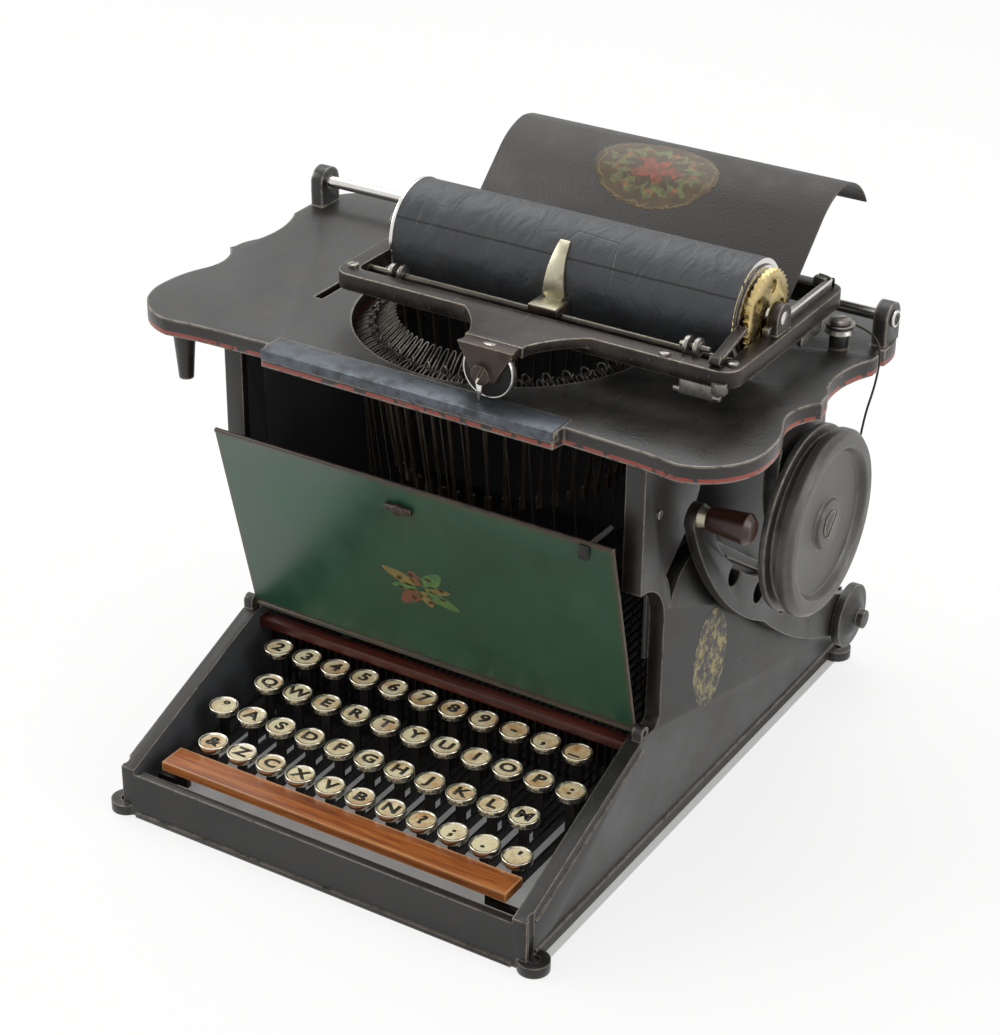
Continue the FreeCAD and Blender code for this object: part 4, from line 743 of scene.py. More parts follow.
def make_finishes(colours):
    """Every finish of the machine, named for what it is."""
    # Japan: baked oil varnish on cast iron, deep black with a soft broad gloss. Its pale
    # edges are partly worn through and partly a painted highlight along the edge lines.
    worn_finish("black_japan", (colours.japan, "#272421"), "#93877a", 0.36, 38.0, edge=1.3,
                wear=0.8, grain=1.8, bump=0.3, scratches=0.12)
    # On the top plate it has a painted red line, and paper and hands have dulled it. Its pale
    # rounded edges are partly worn and partly a painted highlight.
    worn_finish("japanned_plate", (colours.japan, "#2a2825"), "#a0978a", 0.35, 30.0, edge=2.2,
                wear=0.9, band=(*LINING_BAND, colours.lining), grain=1.9, bump=0.5,
                scratches=0.22)
    # The drum's japan is a lighter grey than the rest, a painted reflection on the face toward
    # the camera, and its rims are bare.
    worn_finish("japanned_drum", ("#383734", "#524f4a"), "#a8a094", 0.36, 26.0, edge=1.8,
                wear=0.9, grain=1.6, bump=0.3)
    # Blued and oiled steel, brown with age. Its bright edges are partly where fingers rub it
    # and partly a painted highlight along the edge lines.
    worn_finish("oiled_steel", ("#1c1a18", "#3a342d"), "#a39a8c", 0.34, 16.0, edge=1.3, wear=0.9,
                metallic=0.55, worn_metallic=0.95, scratches=0.4)
    # Blackened steel, little handled: levers and comb show only as dark edges.
    worn_finish("black_steel", ("#131211", "#221f1c"), "#4b443c", 0.42, 12.0, edge=0.5, wear=0.5,
                metallic=0.3)
    # Drawn wire gone brown with rust, and darkened further as painted shade inside the
    # machine: dull, with few glints.
    worn_finish("rusty_wire", ("#2c241b", "#43382b"), "#6a5d4d", 0.55, 7.0, edge=0.3, wear=0.3,
                metallic=0.5)
    # Tin linings, once black, now under a film of dust.
    worn_finish("dusty_tin", ("#37383b", "#47484b"), "#6a655e", 0.75, 30.0, edge=0.8, wear=0.5)
    # Near-black and matt, a painted shade: on the type ring under the top plate, and inside
    # the front wheel's rim on the carriage.
    worn_finish("grimy_steel", ("#0d0c0b", "#191614"), "#2c2620", 0.7, 9.0, edge=0.3, wear=0.4)
    # Stamped sheet steel, browned by rust and bright along its cut edges.
    worn_finish("sheet_steel_brown", ("#2a211c", "#43352b"), "#8b7f70", 0.4, 9.0, edge=0.7,
                wear=0.8, metallic=0.4, worn_metallic=0.9)
    # Green enamel on tin plate, brushed on by hand and rubbed thin near the edges.
    worn_finish("green_enamel", (colours.green, "#264f38"), "#5a4030", 0.33, 46.0, edge=3.4,
                wear=1.0, worn_metallic=0.1, grain=1.6, bump=0.2, scratches=0.4)
    # Tin plate under crackled black varnish, matt and finely pitted.
    worn_finish("crackled_varnish", ("#2b2826", "#393531"), "#6f6557", 0.52, 20.0, edge=0.9,
                wear=0.7, worn_metallic=0.2, grain=1.3, bump=1.0)
    # Ground and polished rail steel: long bright streaks, a few rust stains.
    metal_finish("polished_steel", ("#eceae6", "#c4c1bb"), 0.2, 14.0, "#85715e", 0.24, drawn=True)
    # Turned screws and small levers, grey with brown stains.
    metal_finish("tool_steel", ("#a9a6a0", "#77736c"), 0.33, 6.0, "#4e4238", 0.42)
    # Bent hanger wire under the platen: half of it has tarnished dark.
    metal_finish("hanger_steel", ("#77736c", "#4f4a43"), 0.36, 6.0, "#2a241e", 0.5)
    # Rolled spring strip, blue-grey and matt.
    metal_finish("strip_steel", ("#6a7178", "#4a4e52"), 0.46, 5.0, "#2c2a28", 0.42, drawn=True)
    # Nickel plate on brass: warm white, brown where it has gone through.
    metal_finish("nickel_ring", ("#e4dfd2", "#bdb49c"), 0.2, 4.0, "#6d5f45", 0.3)
    metal_finish("dull_nickel", ("#bdb9a6", "#a09a80"), 0.36, 9.0, "#7a6c48", 0.36)
    # Cast brass of the ratchet, pale yellow and spotted.
    metal_finish("old_brass", ("#dcc893", "#b39d66"), 0.3, 7.0, "#6b5836", 0.3)
    rubber_finish("hardened_rubber")
    # Shellacked walnut, orange where light falls on it and bare along its edge.
    wood_finish("space_bar_wood", ("#6a3416", colours.wood, "#c27c3c"), 0.36, worn="#dcae78")
    # The same wood stained dark red, and ebonised for the grip.
    wood_finish("wood_strip_dark", ("#2c100a", "#4a1d12", "#5e2818"), 0.42)
    wood_finish("grip_wood", ("#20110c", "#3a2118", "#4b2c20"), 0.3)
    paper_finish("key_paper", "#f2e6bc", "#bd8440", "#6f6450")
    # Printer's ink on the paper, almost black and slightly uneven.
    tree, shader, spot = new_finish("key_ink")
    speck = add(tree, "ShaderNodeTexNoise", {"Vector": spot, "Scale": 1000 / 1.5})
    ink = add(tree, "ShaderNodeMix", {"Factor": speck.outputs["Fac"], 6: linear("#15120f"),
                                      7: linear("#2d261e")}, data_type="RGBA")
    feed(tree, shader, {"Base Color": ink.outputs[2]})
    # Transfers: bronze powder on the sides, oil colours on the cover.
    decal_finish("gold_transfer", "#1f1d1a", ("#9c8a4c", "#75704a"), 0.48, 7.0)
    decal_finish("print_ochre", "#2c4a30", ("#85703a", "#6a5f33"), 0.62, 3.0)
    decal_finish("print_leaf", "#234a32", ("#56743a", "#3c6238"), 0.68, 3.0)
    decal_finish("print_brick", "#2a4630", ("#80472f", "#6a4530"), 0.56, 3.0)
    medallion_finish("medallion_print", at(*OVAL_MIDDLE, 0.0), *OVAL_HALF,
                     ("#2b2219", "#9a4534", "#6c7746", "#7c6a3c", "#5d4a2a"))
    # Waxed linen cord, dark brown in patches.
    decal_finish("cord_wax", "#1c140e", ("#3a2a1c", "#2a1e14"), 0.5, 2.0, 0.6)


class MakeStage(bpy.types.Operator):
    """Lay the floor, hang the lamps and set up the camera"""
    bl_idname = "typewriter.stage"
    bl_label = "Stage"

    def execute(self, context):
        colours = context.scene.typewriter_colours
        bpy.ops.mesh.primitive_plane_add(size=14.0, location=(0, 0, 0))
        floor = named("studio_floor")
        tree, shader, spot = new_finish("studio_paper")
        shader.inputs["Roughness"].default_value = 0.95
        tone = add(tree, "ShaderNodeTexNoise", {"Vector": spot, "Scale": 2.0})
        mix = add(tree, "ShaderNodeMix", {"Factor": tone.outputs["Fac"], 6: linear(colours.floor),
                                          7: linear("#fbfbfa")}, data_type="RGBA")
        tree.links.new(mix.outputs[2], shader.inputs["Base Color"])
        path = add(tree, "ShaderNodeLightPath")
        seen = add(tree, "ShaderNodeMath", {0: path.outputs["Is Camera Ray"],
                                            1: path.outputs["Is Glossy Ray"]}, operation="MAXIMUM")
        parts = add(tree, "ShaderNodeSeparateXYZ", {"Vector": spot})
        # The floor glows for the camera and in reflections, as an evenly bright floor; inside the
        # machine's footprint the glow drops to 0.1, a painted shade under the machine.
        low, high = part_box("base_frame")
        sides = add(tree, "ShaderNodeMath", {0: parts.outputs["X"], 1: 0.0, 2: high.x * 0.95},
                    operation="COMPARE")
        ends = add(tree, "ShaderNodeMath", {0: parts.outputs["Y"], 1: 0.0, 2: high.y * 0.95},
                   operation="COMPARE")
        under = add(tree, "ShaderNodeMath", {0: sides.outputs[0], 1: ends.outputs[0]},
                    operation="MULTIPLY")
        open_air = add(tree, "ShaderNodeMapRange", {"Value": under.outputs[0], "To Min": 0.78,
                                                    "To Max": 0.1})
        share = add(tree, "ShaderNodeMath", {0: seen.outputs[0], 1: open_air.outputs[0]},
                    operation="MULTIPLY")
        glow = add(tree, "ShaderNodeEmission", {"Color": linear("#ffffff"), "Strength": 1.0})
        paper = add(tree, "ShaderNodeMixShader", {0: share.outputs[0], 1: shader.outputs[0],
                                                  2: glow.outputs[0]})
        feed(tree, tree.nodes["Material Output"], {"Surface": paper.outputs[0]})
        floor.data.materials.append(bpy.data.materials["studio_paper"])
        world = bpy.data.worlds.new("Studio")
        world.use_nodes = True
        tree = world.node_tree
        tree.nodes.clear()
        path = add(tree, "ShaderNodeLightPath")
        seen = add(tree, "ShaderNodeMath", {0: path.outputs["Is Camera Ray"],
                                            1: path.outputs["Is Transmission Ray"]},
                   operation="MAXIMUM")
        mirrored = add(tree, "ShaderNodeMath", {0: seen.outputs[0],
                                                1: path.outputs["Is Glossy Ray"]},
                       operation="MAXIMUM")
        strength = add(tree, "ShaderNodeMapRange", {"Value": mirrored.outputs[0], "To Min": 0.5,
                                                    "To Max": 1.0})
        sky = add(tree, "ShaderNodeBackground", {"Color": (1, 1, 1, 1),
                                                 "Strength": strength.outputs[0]})
        add(tree, "ShaderNodeOutputWorld", {"Surface": sky.outputs[0]})
        context.scene.world = world
        for name, spot, width, power in LAMPS:
            lamp = bpy.data.lights.new(name, "AREA")
            lamp.size = width
            lamp.energy = power
            item = bpy.data.objects.new(name, lamp)
            item.location = spot
            item.rotation_euler = (Vector(spot) - LAMP_AIM).to_track_quat("Z", "Y").to_euler()
            context.scene.collection.objects.link(item)
        azimuth, elevation, roll = (math.radians(v) for v in CAMERA_TURN)
        level = Vector((math.cos(azimuth), math.sin(azimuth), 0))
        steep = Vector((-math.sin(azimuth) * math.sin(elevation),
                        math.cos(azimuth) * math.sin(elevation), math.cos(elevation)))
        back = Vector((math.sin(azimuth) * math.cos(elevation),
                       -math.cos(azimuth) * math.cos(elevation), math.sin(elevation)))
        right = level * math.cos(roll) + steep * math.sin(roll)
        up = steep * math.cos(roll) - level * math.sin(roll)
        spot = right * CAMERA_PLACE[0] + up * CAMERA_PLACE[1] + back * CAMERA_PLACE[2]
        camera = bpy.data.cameras.new("Camera")
        camera.lens = CAMERA_LENS
        camera.sensor_width = 36.0
        camera.clip_start = 0.05
        item = bpy.data.objects.new("Camera", camera)
        turn = Matrix((right, up, back)).transposed().to_4x4()
        item.matrix_world = Matrix.Translation(at(*spot)) @ turn
        context.scene.collection.objects.link(item)
        context.scene.camera = item
        context.scene.view_settings.view_transform = "Standard"
        return {"FINISHED"}


class MakeBase(bpy.types.Operator):
    """Base casting with its wood strip, beads and side transfers"""
    bl_idname = "typewriter.base"
    bl_label = "Base"

    def execute(self, context):
        edge = context.scene.typewriter_sizes.casting_edge / MM
        base = rounded(cad_copy("base_frame", "base_casting"), edge)
        strip = at(-117.6, 113.3, 61.3), at(117.6, 120.7, 67.2)
        inside = at(-117.7, 121.0, 20.0), at(117.7, 352.0, 240.0)

        def finish_of(centre, normal):
            if within(centre, *strip):
                return 1
            if within(centre, *inside) and (normal.x * centre.x < 0 or normal.y < -0.5):
                return 2
            return 0

        coat(base, ["black_japan", "wood_strip_dark", "dusty_tin"], finish_of)
        ride(base, "machine_base", "japanned_iron", "base_frame")
        for side, x in (("right", SIDE_FACE), ("left", -SIDE_FACE)):
            low = wire(side + "_foot_bead", [(x, 8, 8), (x, 160, 8), (x, 350, 8)], 1.1)
            slope = wire(side + "_slope_bead", [(x, 8, 26), (x, 60, 46.5), (x, 112, 67)], 1.1)
            rear = wire(side + "_rear_bead", [(x, 196, 141), (x, 240, 111), (x, 338, 45)], 1.1)
            beads = joined(side + "_panel_beads", [low, slope, rear])
            ride(coat(beads, ["black_japan"]), "machine_base", "japanned_iron")
            bpy.ops.mesh.primitive_cylinder_add(
                vertices=48, radius=1.0, depth=2 * PRINT_FILM * MM, location=at(x, 185, 85),
                rotation=(0, math.pi / 2, 0))
            oval = named(side + "_oval_transfer")
            oval.scale = (29 * MM, 19 * MM, 1.0)
            settle(oval)
            ride(coat(oval, ["gold_transfer"]), "machine_base", "japanned_iron")
        screws = [screw("side_screw_%d" % number, (SIDE_FACE, 118.0, up), (1, 0, 0), radius, 1.4,
                        0.3 + number)
                  for number, (up, radius) in enumerate(((226.0, 3.0), (202.0, 2.4)))]
        ride(coat(joined("column_screws", screws), ["tool_steel"]), "machine_base",
             "bright_steel")
        # A tooth stands on each side of every lever.
        teeth = []
        for number in range(sum(len(legends) for legends in LEGENDS) + 1):
            x = LEVER_PITCH * (number - 0.5) - 102.4
            teeth.append(slab("comb_tooth_%d" % number, (x - 0.5, 121.0, 25.0),
                              (x + 0.5, 124.0, 60.0), 0.1, 1))
        teeth.append(slab("comb_back", (-117.4, 124.0, 40.0), (117.4, 125.4, 61.0), 0.3, 1))
        ride(coat(joined("lever_comb", teeth), ["black_steel"]), "machine_base", "dark_steel")
        return {"FINISHED"}


class MakePlate(bpy.types.Operator):
    """Top plate, its rail, its front strip and the small fittings on it"""
    bl_idname = "typewriter.plate"
    bl_label = "Top plate"

    def execute(self, context):
        plate = rounded(cad_copy("top_plate", "plate_casting"), 1.5, 3)
        ride(coat(plate, ["japanned_plate"]), "machine_base", "japanned_iron", "top_plate")
        ways = rounded(cad_copy("carriage_ways", "rail_and_strip"), 0.6)
        rail_front = at(0, 255, 0).y
        coat(ways, ["polished_steel", "strip_steel"],
             lambda centre, normal: 0 if centre.y > rail_front else 1)
        ride(ways, "machine_base", "bright_steel", "carriage_ways")
        screws = [
            screw("pulley_screw", (158.5, 246.0, 264.4), (0, 0, 1), 5.6, 1.6, 0.9),
            screw("right_rail_end", (181.0, 266.0, 263.8), (-1, 0, 0), 3.4, 0.1, 0.2),
        ]
        ride(coat(joined("plate_screws", screws), ["tool_steel"]), "machine_base", "bright_steel")
        return {"FINISHED"}


class MakeCover(bpy.types.Operator):
    """Green keyboard cover with its rolled edges, print, stay and catch"""
    bl_idname = "typewriter.cover"
    bl_label = "Keyboard cover"

    def execute(self, context):
        cover = rounded(cad_copy("front_cover", "keyboard_cover"), 0.3)
        facing = Vector((0, -math.cos(COVER_LEAN), -math.sin(COVER_LEAN)))
        coat(cover, ["sheet_steel_brown", "green_enamel"],
             lambda centre, normal: 1 if normal.dot(facing) > 0.95 else 0)
        ride(cover, "front_cover", "green_tin", "front_cover")
        up = Vector((0, -math.sin(COVER_LEAN), math.cos(COVER_LEAN)))
        rosette = sprig("cover_rosette", on_cover(-2.0, 0.0, 53.0), Vector((1, 0, 0)), up,
                        facing, 27.0, 8, ["print_ochre", "print_leaf", "print_brick"], 8)
        ride(rosette, "front_cover", "green_tin")
        stay = wire("cover_stay", [(104, 85, 191), (107, 90, 195), (110, 94, 198),
                                   (112, 97.5, 200.5)], 1.4)
        tab = slab("cover_stay_tab", (101, 83, 186), (107, 86, 194), 1.2, 3)
        ride(coat(joined("cover_stay_link", [stay, tab]), ["black_steel"]), "front_cover",
             "dark_steel")
        catch = rounded(cad_copy("cover_catch", "turn_catch"), 0.5)
        ride(coat(catch, ["sheet_steel_brown"]), "cover_catch", "worn_brass", "cover_catch")
        return {"FINISHED"}


class MakeKeys(bpy.types.Operator):
    """Forty-four keys: lever, stem, nickel ring, paper face and letter"""
    bl_idname = "typewriter.keys"
    bl_label = "Keys"

    def execute(self, context):
        ring = self.ring()
        for row, legends in enumerate(LEGENDS):
            for column, legend in enumerate(legends):
                node = "key_row%d_%02d" % (row + 1, column + 1)
                low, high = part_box(node)
                middle = Vector(((low.x + high.x) / 2, low.y + KEY_RING_RADIUS * MM, high.z))
                body = self.lever(node, high.z - (KEY_RING_THICK + 0.3) * MM)
                cap = copied(ring, node + "_ring")
                cap.location = middle
                settle(cap)
                letter = self.letter(node, legend, middle,
                                     context.scene.typewriter_sizes.legend)
                key = joined(node + "_piece", [cap, body, letter])
                ride(key, node, "dark_steel", node)
        bpy.data.objects.remove(ring)
        return {"FINISHED"}

    def ring(self):
        """The nickel ring with its sunk paper, its top at the origin."""
        bpy.ops.mesh.primitive_cylinder_add(
            vertices=40, radius=KEY_RING_RADIUS * MM, depth=KEY_RING_THICK * MM,
            location=(0, 0, -KEY_RING_THICK / 2 * MM))
        ring = settle(named("ring_pattern"))
        stepped(ring, (0, 0, 1), [(0.3, 0.15), (0.65, 0.0), (0.3, -0.5)])
        rounded(ring, 0.35, 2, 50)
        paper_out = (KEY_RING_RADIUS - 1.4) * MM * 0.5
        return coat(ring, ["nickel_ring", "key_paper"],
                    lambda centre, normal: 1 if normal.z > 0.9 and centre.xy.length < paper_out
                    else 0)

    def lever(self, node, cap_low):
        """The CAD key without its plain cap, which the ring takes the place of."""
        body = cad_copy(node, node + "_lever")
        only(body)
        bpy.ops.object.mode_set(mode="EDIT")
        select_faces(body, lambda centre, normal: centre.z > cap_low)
        bpy.ops.mesh.delete(type="FACE")
        bpy.ops.object.mode_set(mode="OBJECT")
        smooth(body)
        return coat(body, ["black_steel"])

    def letter(self, node, legend, middle, height):
        """A letter, number or sign that lies on the sunk paper."""
        bpy.ops.object.text_add(location=(0, 0, 0))
        letter = bpy.context.active_object
        letter.data.body = legend
        letter.data.size = height
        letter.data.offset = LETTER_WEIGHT
        letter.data.align_x = "CENTER"
        letter.data.align_y = "CENTER"
        letter.data.resolution_u = 3
        bpy.ops.object.convert(target="MESH")
        letter = named(node + "_legend")
        letter.location = middle + Vector((0, 0, -PAPER_DEPTH * MM))
        letter.scale = (1.15, 0.98, 1.0)
        settle(letter)
        bpy.ops.object.mode_set(mode="EDIT")
        bpy.ops.mesh.select_all(action="SELECT")
        raised = {"value": (0, 0, LETTER_RISE * MM)}
        bpy.ops.mesh.extrude_region_move(TRANSFORM_OT_translate=raised)
        bpy.ops.object.mode_set(mode="OBJECT")
        return coat(letter, ["key_ink"])


class MakeSpaceBar(bpy.types.Operator):
    """Worn wooden space bar on its two steel arms"""
    bl_idname = "typewriter.space_bar"
    bl_label = "Space bar"

    def execute(self, context):
        item = rounded(cad_copy("space_bar", "space_bar_piece"), 1.0, 3)
        arms_top = at(0, 0, 27.5).z
        coat(item, ["black_steel", "space_bar_wood"],
             lambda centre, normal: 1 if centre.z > arms_top else 0)
        ride(item, "space_bar", "walnut", "space_bar")
        return {"FINISHED"}


class MakeCarriage(bpy.types.Operator):
    """Lifting carriage frame with its wheel, finger, pawl and small fittings"""
    bl_idname = "typewriter.carriage"
    bl_label = "Carriage"

    def execute(self, context):
        self.casting()
        bracket = [
            wedge("wheel_bracket", (25.0, 93.0, 261.5), (57.0, 96.3, 279.7), (0, 0, -1),
                  (0.34, 1, 1), 0.6),
            slab("bracket_shoulder", (26.0, 94.0, 274.6), (56.0, 103.0, 279.9), 0.7),
            screw("wheel_screw_head", (39.5, 93.2, 265.0), (0, -1, 0), 5.2, 1.9, 1.1),
            slab("finger_bracket", (33.0, 146.0, 277.0), (50.0, 158.0, 281.0), 0.6),
        ]
        ride(coat(joined("wheel_bracket_piece", bracket), ["sheet_steel_brown"]),
             "carriage_frame", "dark_steel")
        bright = [
            wedge("pointer", (36.6, 91.3, 251.5), (41.4, 93.2, 263.5), (0, 0, -1),
                  (0.22, 1, 1), 0.4),
            wire("spring_bar_edge", [(142.5, 252.0, 284.6), (151.2, 251.6, 284.6),
                                     (151.4, 240.0, 284.6), (151.4, 200.0, 284.6),
                                     (151.4, 178.0, 284.6)], 0.7),
        ]
        bpy.ops.mesh.primitive_torus_add(
            major_radius=13.8 * MM, minor_radius=0.5 * MM, major_segments=64, minor_segments=8,
            location=at(CARRIAGE_MIDDLE, 96.6, 265.8), rotation=(math.pi / 2, 0, 0))
        bright.append(smooth(settle(named("wheel_rim"))))
        ride(coat(joined("bright_fittings", bright), ["polished_steel"]), "carriage_frame",
             "bright_steel")
        ride(coat(joined("carriage_fittings", self.fittings()), ["tool_steel"]),
             "carriage_frame", "bright_steel")
        sleeve = rounded(cad_copy("carriage_sleeve", "rail_sleeve"), 0.4)
        ride(coat(sleeve, ["tool_steel"]), "carriage_sleeve", "bright_steel", "carriage_sleeve")
        pawl = rounded(cad_copy("line_pawl", "pawl_lever"), 0.35)
        ride(coat(pawl, ["oiled_steel"]), "line_pawl", "bright_steel", "line_pawl")
        return {"FINISHED"}

    def casting(self):
        """The frame casting, with its finger narrowed towards the tip."""
        casting = rounded(cad_copy("carriage_frame", "carriage_casting"), 0.9)
        finger = at(32.5, 146.0, 277.6), at(49.5, 200.0, 325.0)
        finger_root, finger_tip = at(0, 0, 282.0).z, at(0, 0, 306.0).z
        finger_back = at(0, 164.0, 0).y
        for vertex in casting.data.vertices:
            spot = vertex.co
            if within(spot, *finger) and spot.z > finger_root:
                share = (spot.z - finger_root) / (finger_tip - finger_root)
                beside = spot.x - CARRIAGE_MIDDLE * MM
                spot.x = CARRIAGE_MIDDLE * MM + beside * (1.5 - 0.75 * share)
        wheel_back, wheel_rim = at(0, 100.4, 0).y, 13.4 * MM
        wheel = at(CARRIAGE_MIDDLE, 0, 265.3)

        def finish_of(centre, normal):
            if centre.y < wheel_back:
                out = math.hypot(centre.x - wheel.x, centre.z - wheel.z)
                # Inside the wheel's rim the face takes the near-black painted shade.
                return 1 if out > wheel_rim else 3
            if within(centre, *finger) and (centre.z > finger_root or centre.y < finger_back):
                return 2
            return 0

        coat(casting, ["oiled_steel", "tool_steel", "dull_nickel", "grimy_steel"], finish_of)
        ride(casting, "carriage_frame", "dark_steel", "carriage_frame")

    def fittings(self):
        """Axles, clips, strips, rollers, rivets and screws round the frame."""
        made = [
            bar("right_front_axle", (121.0, 143.0, 283.0), (137.0, 143.0, 283.0), 1.5, 16, 0.3),
            bar("right_front_bolt", (149.0, 131.0, 268.0), (149.0, 131.0, 274.0), 4.2, 6, 0.4),
            slab("corner_clip", (127.0, 130.6, 262.5), (146.0, 134.0, 272.4), 1.1, 3),
            bar("corner_clip_pin", (124.0, 132.5, 264.5), (149.0, 132.5, 264.5), 1.8, 20, 0.4),
            slab("spring_bar", (147.8, 176.0, 279.6), (151.4, 252.0, 284.6), 0.5),
            slab("spring_bar_foot", (141.0, 247.6, 279.6), (151.4, 252.0, 284.6), 0.5),
            slab("slotted_strip", (153.2, 150.0, 268.6), (155.2, 214.0, 275.6), 0.5),
            slab("hook_plate", (151.0, 211.0, 262.0), (153.8, 234.0, 276.0), 0.8, 3),
        ]
        for number, (start, y, z) in enumerate((
                (124.0, 143.0, 283.0), (129.5, 143.0, 283.0),
                (-52.0, 152.0, 276.5), (-46.5, 152.0, 276.5))):
            made.append(bar("small_roller_%d" % number, (start, y, z), (start + 2.6, y, z),
                            4.8, 28, 0.5, [(1.0, -0.5), (1.2, 0.7)]))
        for number in range(5):
            made.append(screw("strip_rivet_%d" % number, (155.1, 156.0 + 13.0 * number, 272.0),
                              (1, 0, 0), 1.9, 0.6, 0.4))
        for number, (x, y) in enumerate(((151.0, 140.0), (-68.0, 140.0), (-68.0, 246.0),
                                         (118.0, 133.0))):
            made.append(screw("frame_screw_%d" % number, (x, y, CARRIAGE_TOP), (0, 0, 1), 3.0,
                              1.3, 0.4 + number))
        return made


class MakePlaten(bpy.types.Operator):
    """Rubber roller with its end rings, axle and brass ratchet"""
    bl_idname = "typewriter.platen"
    bl_label = "Platen"

    def execute(self, context):
        item = rounded(cad_copy("platen", "platen_roller"), 0.7, 2, 50)
        left, right = at(-57.25, 0, 0).x, at(139.25, 0, 0).x
        axle = at(*PLATEN_AXLE)

        def finish_of(centre, normal):
            out = (centre.yz - axle.yz).length
            if centre.x < left or out < 4.0 * MM:
                return 1
            if centre.x > right + 2.4 * MM:
                return 2
            if centre.x > right:
                return 3
            return 0

        coat(item, ["hardened_rubber", "polished_steel", "old_brass", "oiled_steel"], finish_of)
        ride(item, "platen", "platen_rubber", "platen")
        return {"FINISHED"}


class MakePaperTable(bpy.types.Operator):
    """Curled tin paper table with its generic oval print"""
    bl_idname = "typewriter.paper_table"
    bl_label = "Paper table"

    def execute(self, context):
        item = rounded(cad_copy("paper_table", "paper_table_sheet", 0.1), 0.4, 2, 50)
        ride(coat(item, ["crackled_varnish"]), "carriage_frame", "crackled_tin", "paper_table")
        bpy.ops.mesh.primitive_grid_add(x_subdivisions=60, y_subdivisions=36, size=2.0)
        oval = named("paper_table_oval")
        bpy.ops.object.mode_set(mode="EDIT")
        select_faces(oval, lambda centre, normal: centre.xy.length > 1.0)
        bpy.ops.mesh.delete(type="FACE")
        bpy.ops.object.mode_set(mode="OBJECT")
        oval.scale = (OVAL_HALF[0] * MM, OVAL_HALF[1] * MM, 1.0)
        oval.location = at(*OVAL_MIDDLE, 335.0)
        settle(oval)
        wrap = oval.modifiers.new("Laid on the sheet", "SHRINKWRAP")
        wrap.target = item
        wrap.wrap_method = "PROJECT"
        wrap.use_project_z = True
        wrap.use_negative_direction = True
        wrap.use_positive_direction = False
        wrap.offset = 0.12 * MM
        film = oval.modifiers.new("Film", "SOLIDIFY")
        film.thickness = PRINT_FILM * MM
        film.offset = 0.0
        only(oval)
        for modifier in (wrap, film):
            bpy.ops.object.modifier_apply(modifier=modifier.name)
        ride(smooth(coat(oval, ["medallion_print"])), "carriage_frame", "crackled_tin")
        return {"FINISHED"}


class MakeDrum(bpy.types.Operator):
    """Mainspring drum with its screw, the cord pulley and the draw cord"""
    bl_idname = "typewriter.drum"
    bl_label = "Mainspring drum"

    def execute(self, context):
        drum = rounded(cad_copy("mainspring_drum", "spring_drum"), 1.2, 3)
        # The drum's grey japan is a painted reflection on its face.
        ride(coat(drum, ["japanned_drum"]), "mainspring_drum", "japanned_iron", "mainspring_drum")
        head = screw("drum_screw", DRUM_AXLE_END, (1, 0, 0), 7.5, 3.0, 0.8)
        ride(coat(head, ["japanned_drum"]), "mainspring_drum", "japanned_iron")
        pulley = rounded(cad_copy("cord_pulley", "pulley_wheel"), 0.3)
        ride(coat(pulley, ["tool_steel"]), "cord_pulley", "bright_steel", "cord_pulley")
        cord = round_curve("draw_cord_piece", CORD_ROUTE, CORD_DIAMETER / 2, 12, 3)
        cord.data.materials.append(bpy.data.materials["cord_wax"])
        ride(cord, "machine_base", "waxed_cord", "draw_cord")
        return {"FINISHED"}


class MakeReturnLever(bpy.types.Operator):
    """Openwork return lever with its cap and turned wooden grip"""
    bl_idname = "typewriter.return_lever"
    bl_label = "Return lever"

    def execute(self, context):
        item = rounded(cad_copy("return_lever", "return_lever_piece"), 1.0, 3)
        grip_front, grip_rear = at(0, 130.0, 0).y, at(0, 156.0, 0).y
        grip_start, ferrule_start = at(142.2, 0, 0).x, at(137.2, 0, 0).x

        def finish_of(centre, normal):
            if grip_front < centre.y < grip_rear and centre.x > grip_start:
                return 2
            if grip_front < centre.y < grip_rear and centre.x > ferrule_start:
                return 1
            return 0

        coat(item, ["black_japan", "dull_nickel", "grip_wood"], finish_of)
        ride(item, "return_lever", "japanned_iron", "return_lever")
        return {"FINISHED"}


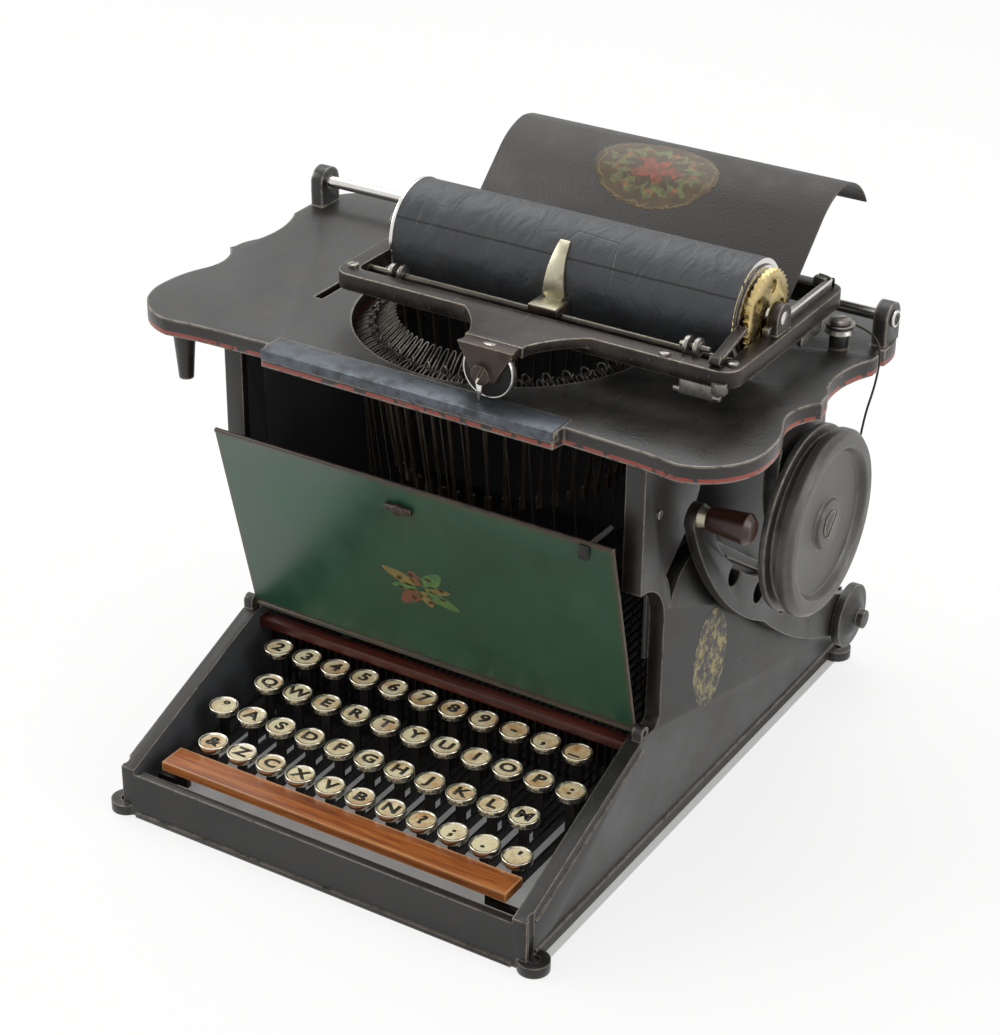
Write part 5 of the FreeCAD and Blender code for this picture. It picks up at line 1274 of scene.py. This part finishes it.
class MakeBasket(bpy.types.Operator):
    """Type ring with its bars, wires and bent wire hangers"""
    bl_idname = "typewriter.basket"
    bl_label = "Type basket"

    def execute(self, context):
        item = smooth(cad_copy("type_basket", "type_ring"))
        ring_under = at(0, 0, 233.5).z
        # The ring is painted near-black as shade under the top plate; the bars and wires below it
        # are rust-brown and darkened as painted shade too.
        coat(item, ["grimy_steel", "rusty_wire"],
             lambda centre, normal: 1 if centre.z < ring_under else 0)
        ride(item, "machine_base", "bright_steel", "type_basket")
        radius = context.scene.typewriter_sizes.hook_wire / MM
        centre = at(0, BASKET_BACK, 0)
        hangers = []
        for name, thick, count, start, places in HANGERS:
            pattern = wire(name, [(out, BASKET_BACK + beside, up) for out, beside, up in places],
                           radius * thick, 1)
            for number in range(count):
                angle = 2 * math.pi * (number + start) / count
                if name == "hairpin" and FRONT_RIGHT[0] < angle < FRONT_RIGHT[1]:
                    continue
                hanger = copied(pattern, "%s_%02d" % (name, number))
                hanger.data.transform(Matrix.Translation(centre) @ Matrix.Rotation(angle, 4, "Z")
                                      @ Matrix.Translation(-centre))
                hangers.append(hanger)
            bpy.data.objects.remove(pattern)
        ride(coat(joined("type_bar_hangers", hangers), ["hanger_steel"]), "machine_base",
             "bright_steel")
        return {"FINISHED"}


OPERATORS = (MakeStage, MakeBase, MakePlate, MakeCover, MakeKeys, MakeSpaceBar, MakeCarriage,
             MakePlaten, MakePaperTable, MakeDrum, MakeReturnLever, MakeBasket)


class TypewriterPanel(bpy.types.Panel):
    """Lists the pieces of the typewriter"""
    bl_idname = "TYPEWRITER_PT_pieces"
    bl_label = "Typewriter"
    bl_space_type = "VIEW_3D"
    bl_region_type = "UI"
    bl_category = "Typewriter"

    def draw(self, context):
        for group in (context.scene.typewriter_colours, context.scene.typewriter_sizes):
            for name in group.__annotations__:
                self.layout.prop(group, name)
        for operator in OPERATORS:
            self.layout.operator(operator.bl_idname)


CLASSES = (TypewriterColours, TypewriterSizes, *OPERATORS, TypewriterPanel)


def register():
    for item in CLASSES:
        bpy.utils.register_class(item)
    bpy.types.Scene.typewriter_colours = PointerProperty(type=TypewriterColours)
    bpy.types.Scene.typewriter_sizes = PointerProperty(type=TypewriterSizes)


def unregister():
    del bpy.types.Scene.typewriter_sizes
    del bpy.types.Scene.typewriter_colours
    for item in reversed(CLASSES):
        bpy.utils.unregister_class(item)


def main():
    """Dress the whole machine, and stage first."""
    register()
    make_finishes(bpy.context.scene.typewriter_colours)
    for operator in OPERATORS:
        group, name = operator.bl_idname.split(".")
        getattr(getattr(bpy.ops, group), name)()


if __name__ == "__main__":
    main()
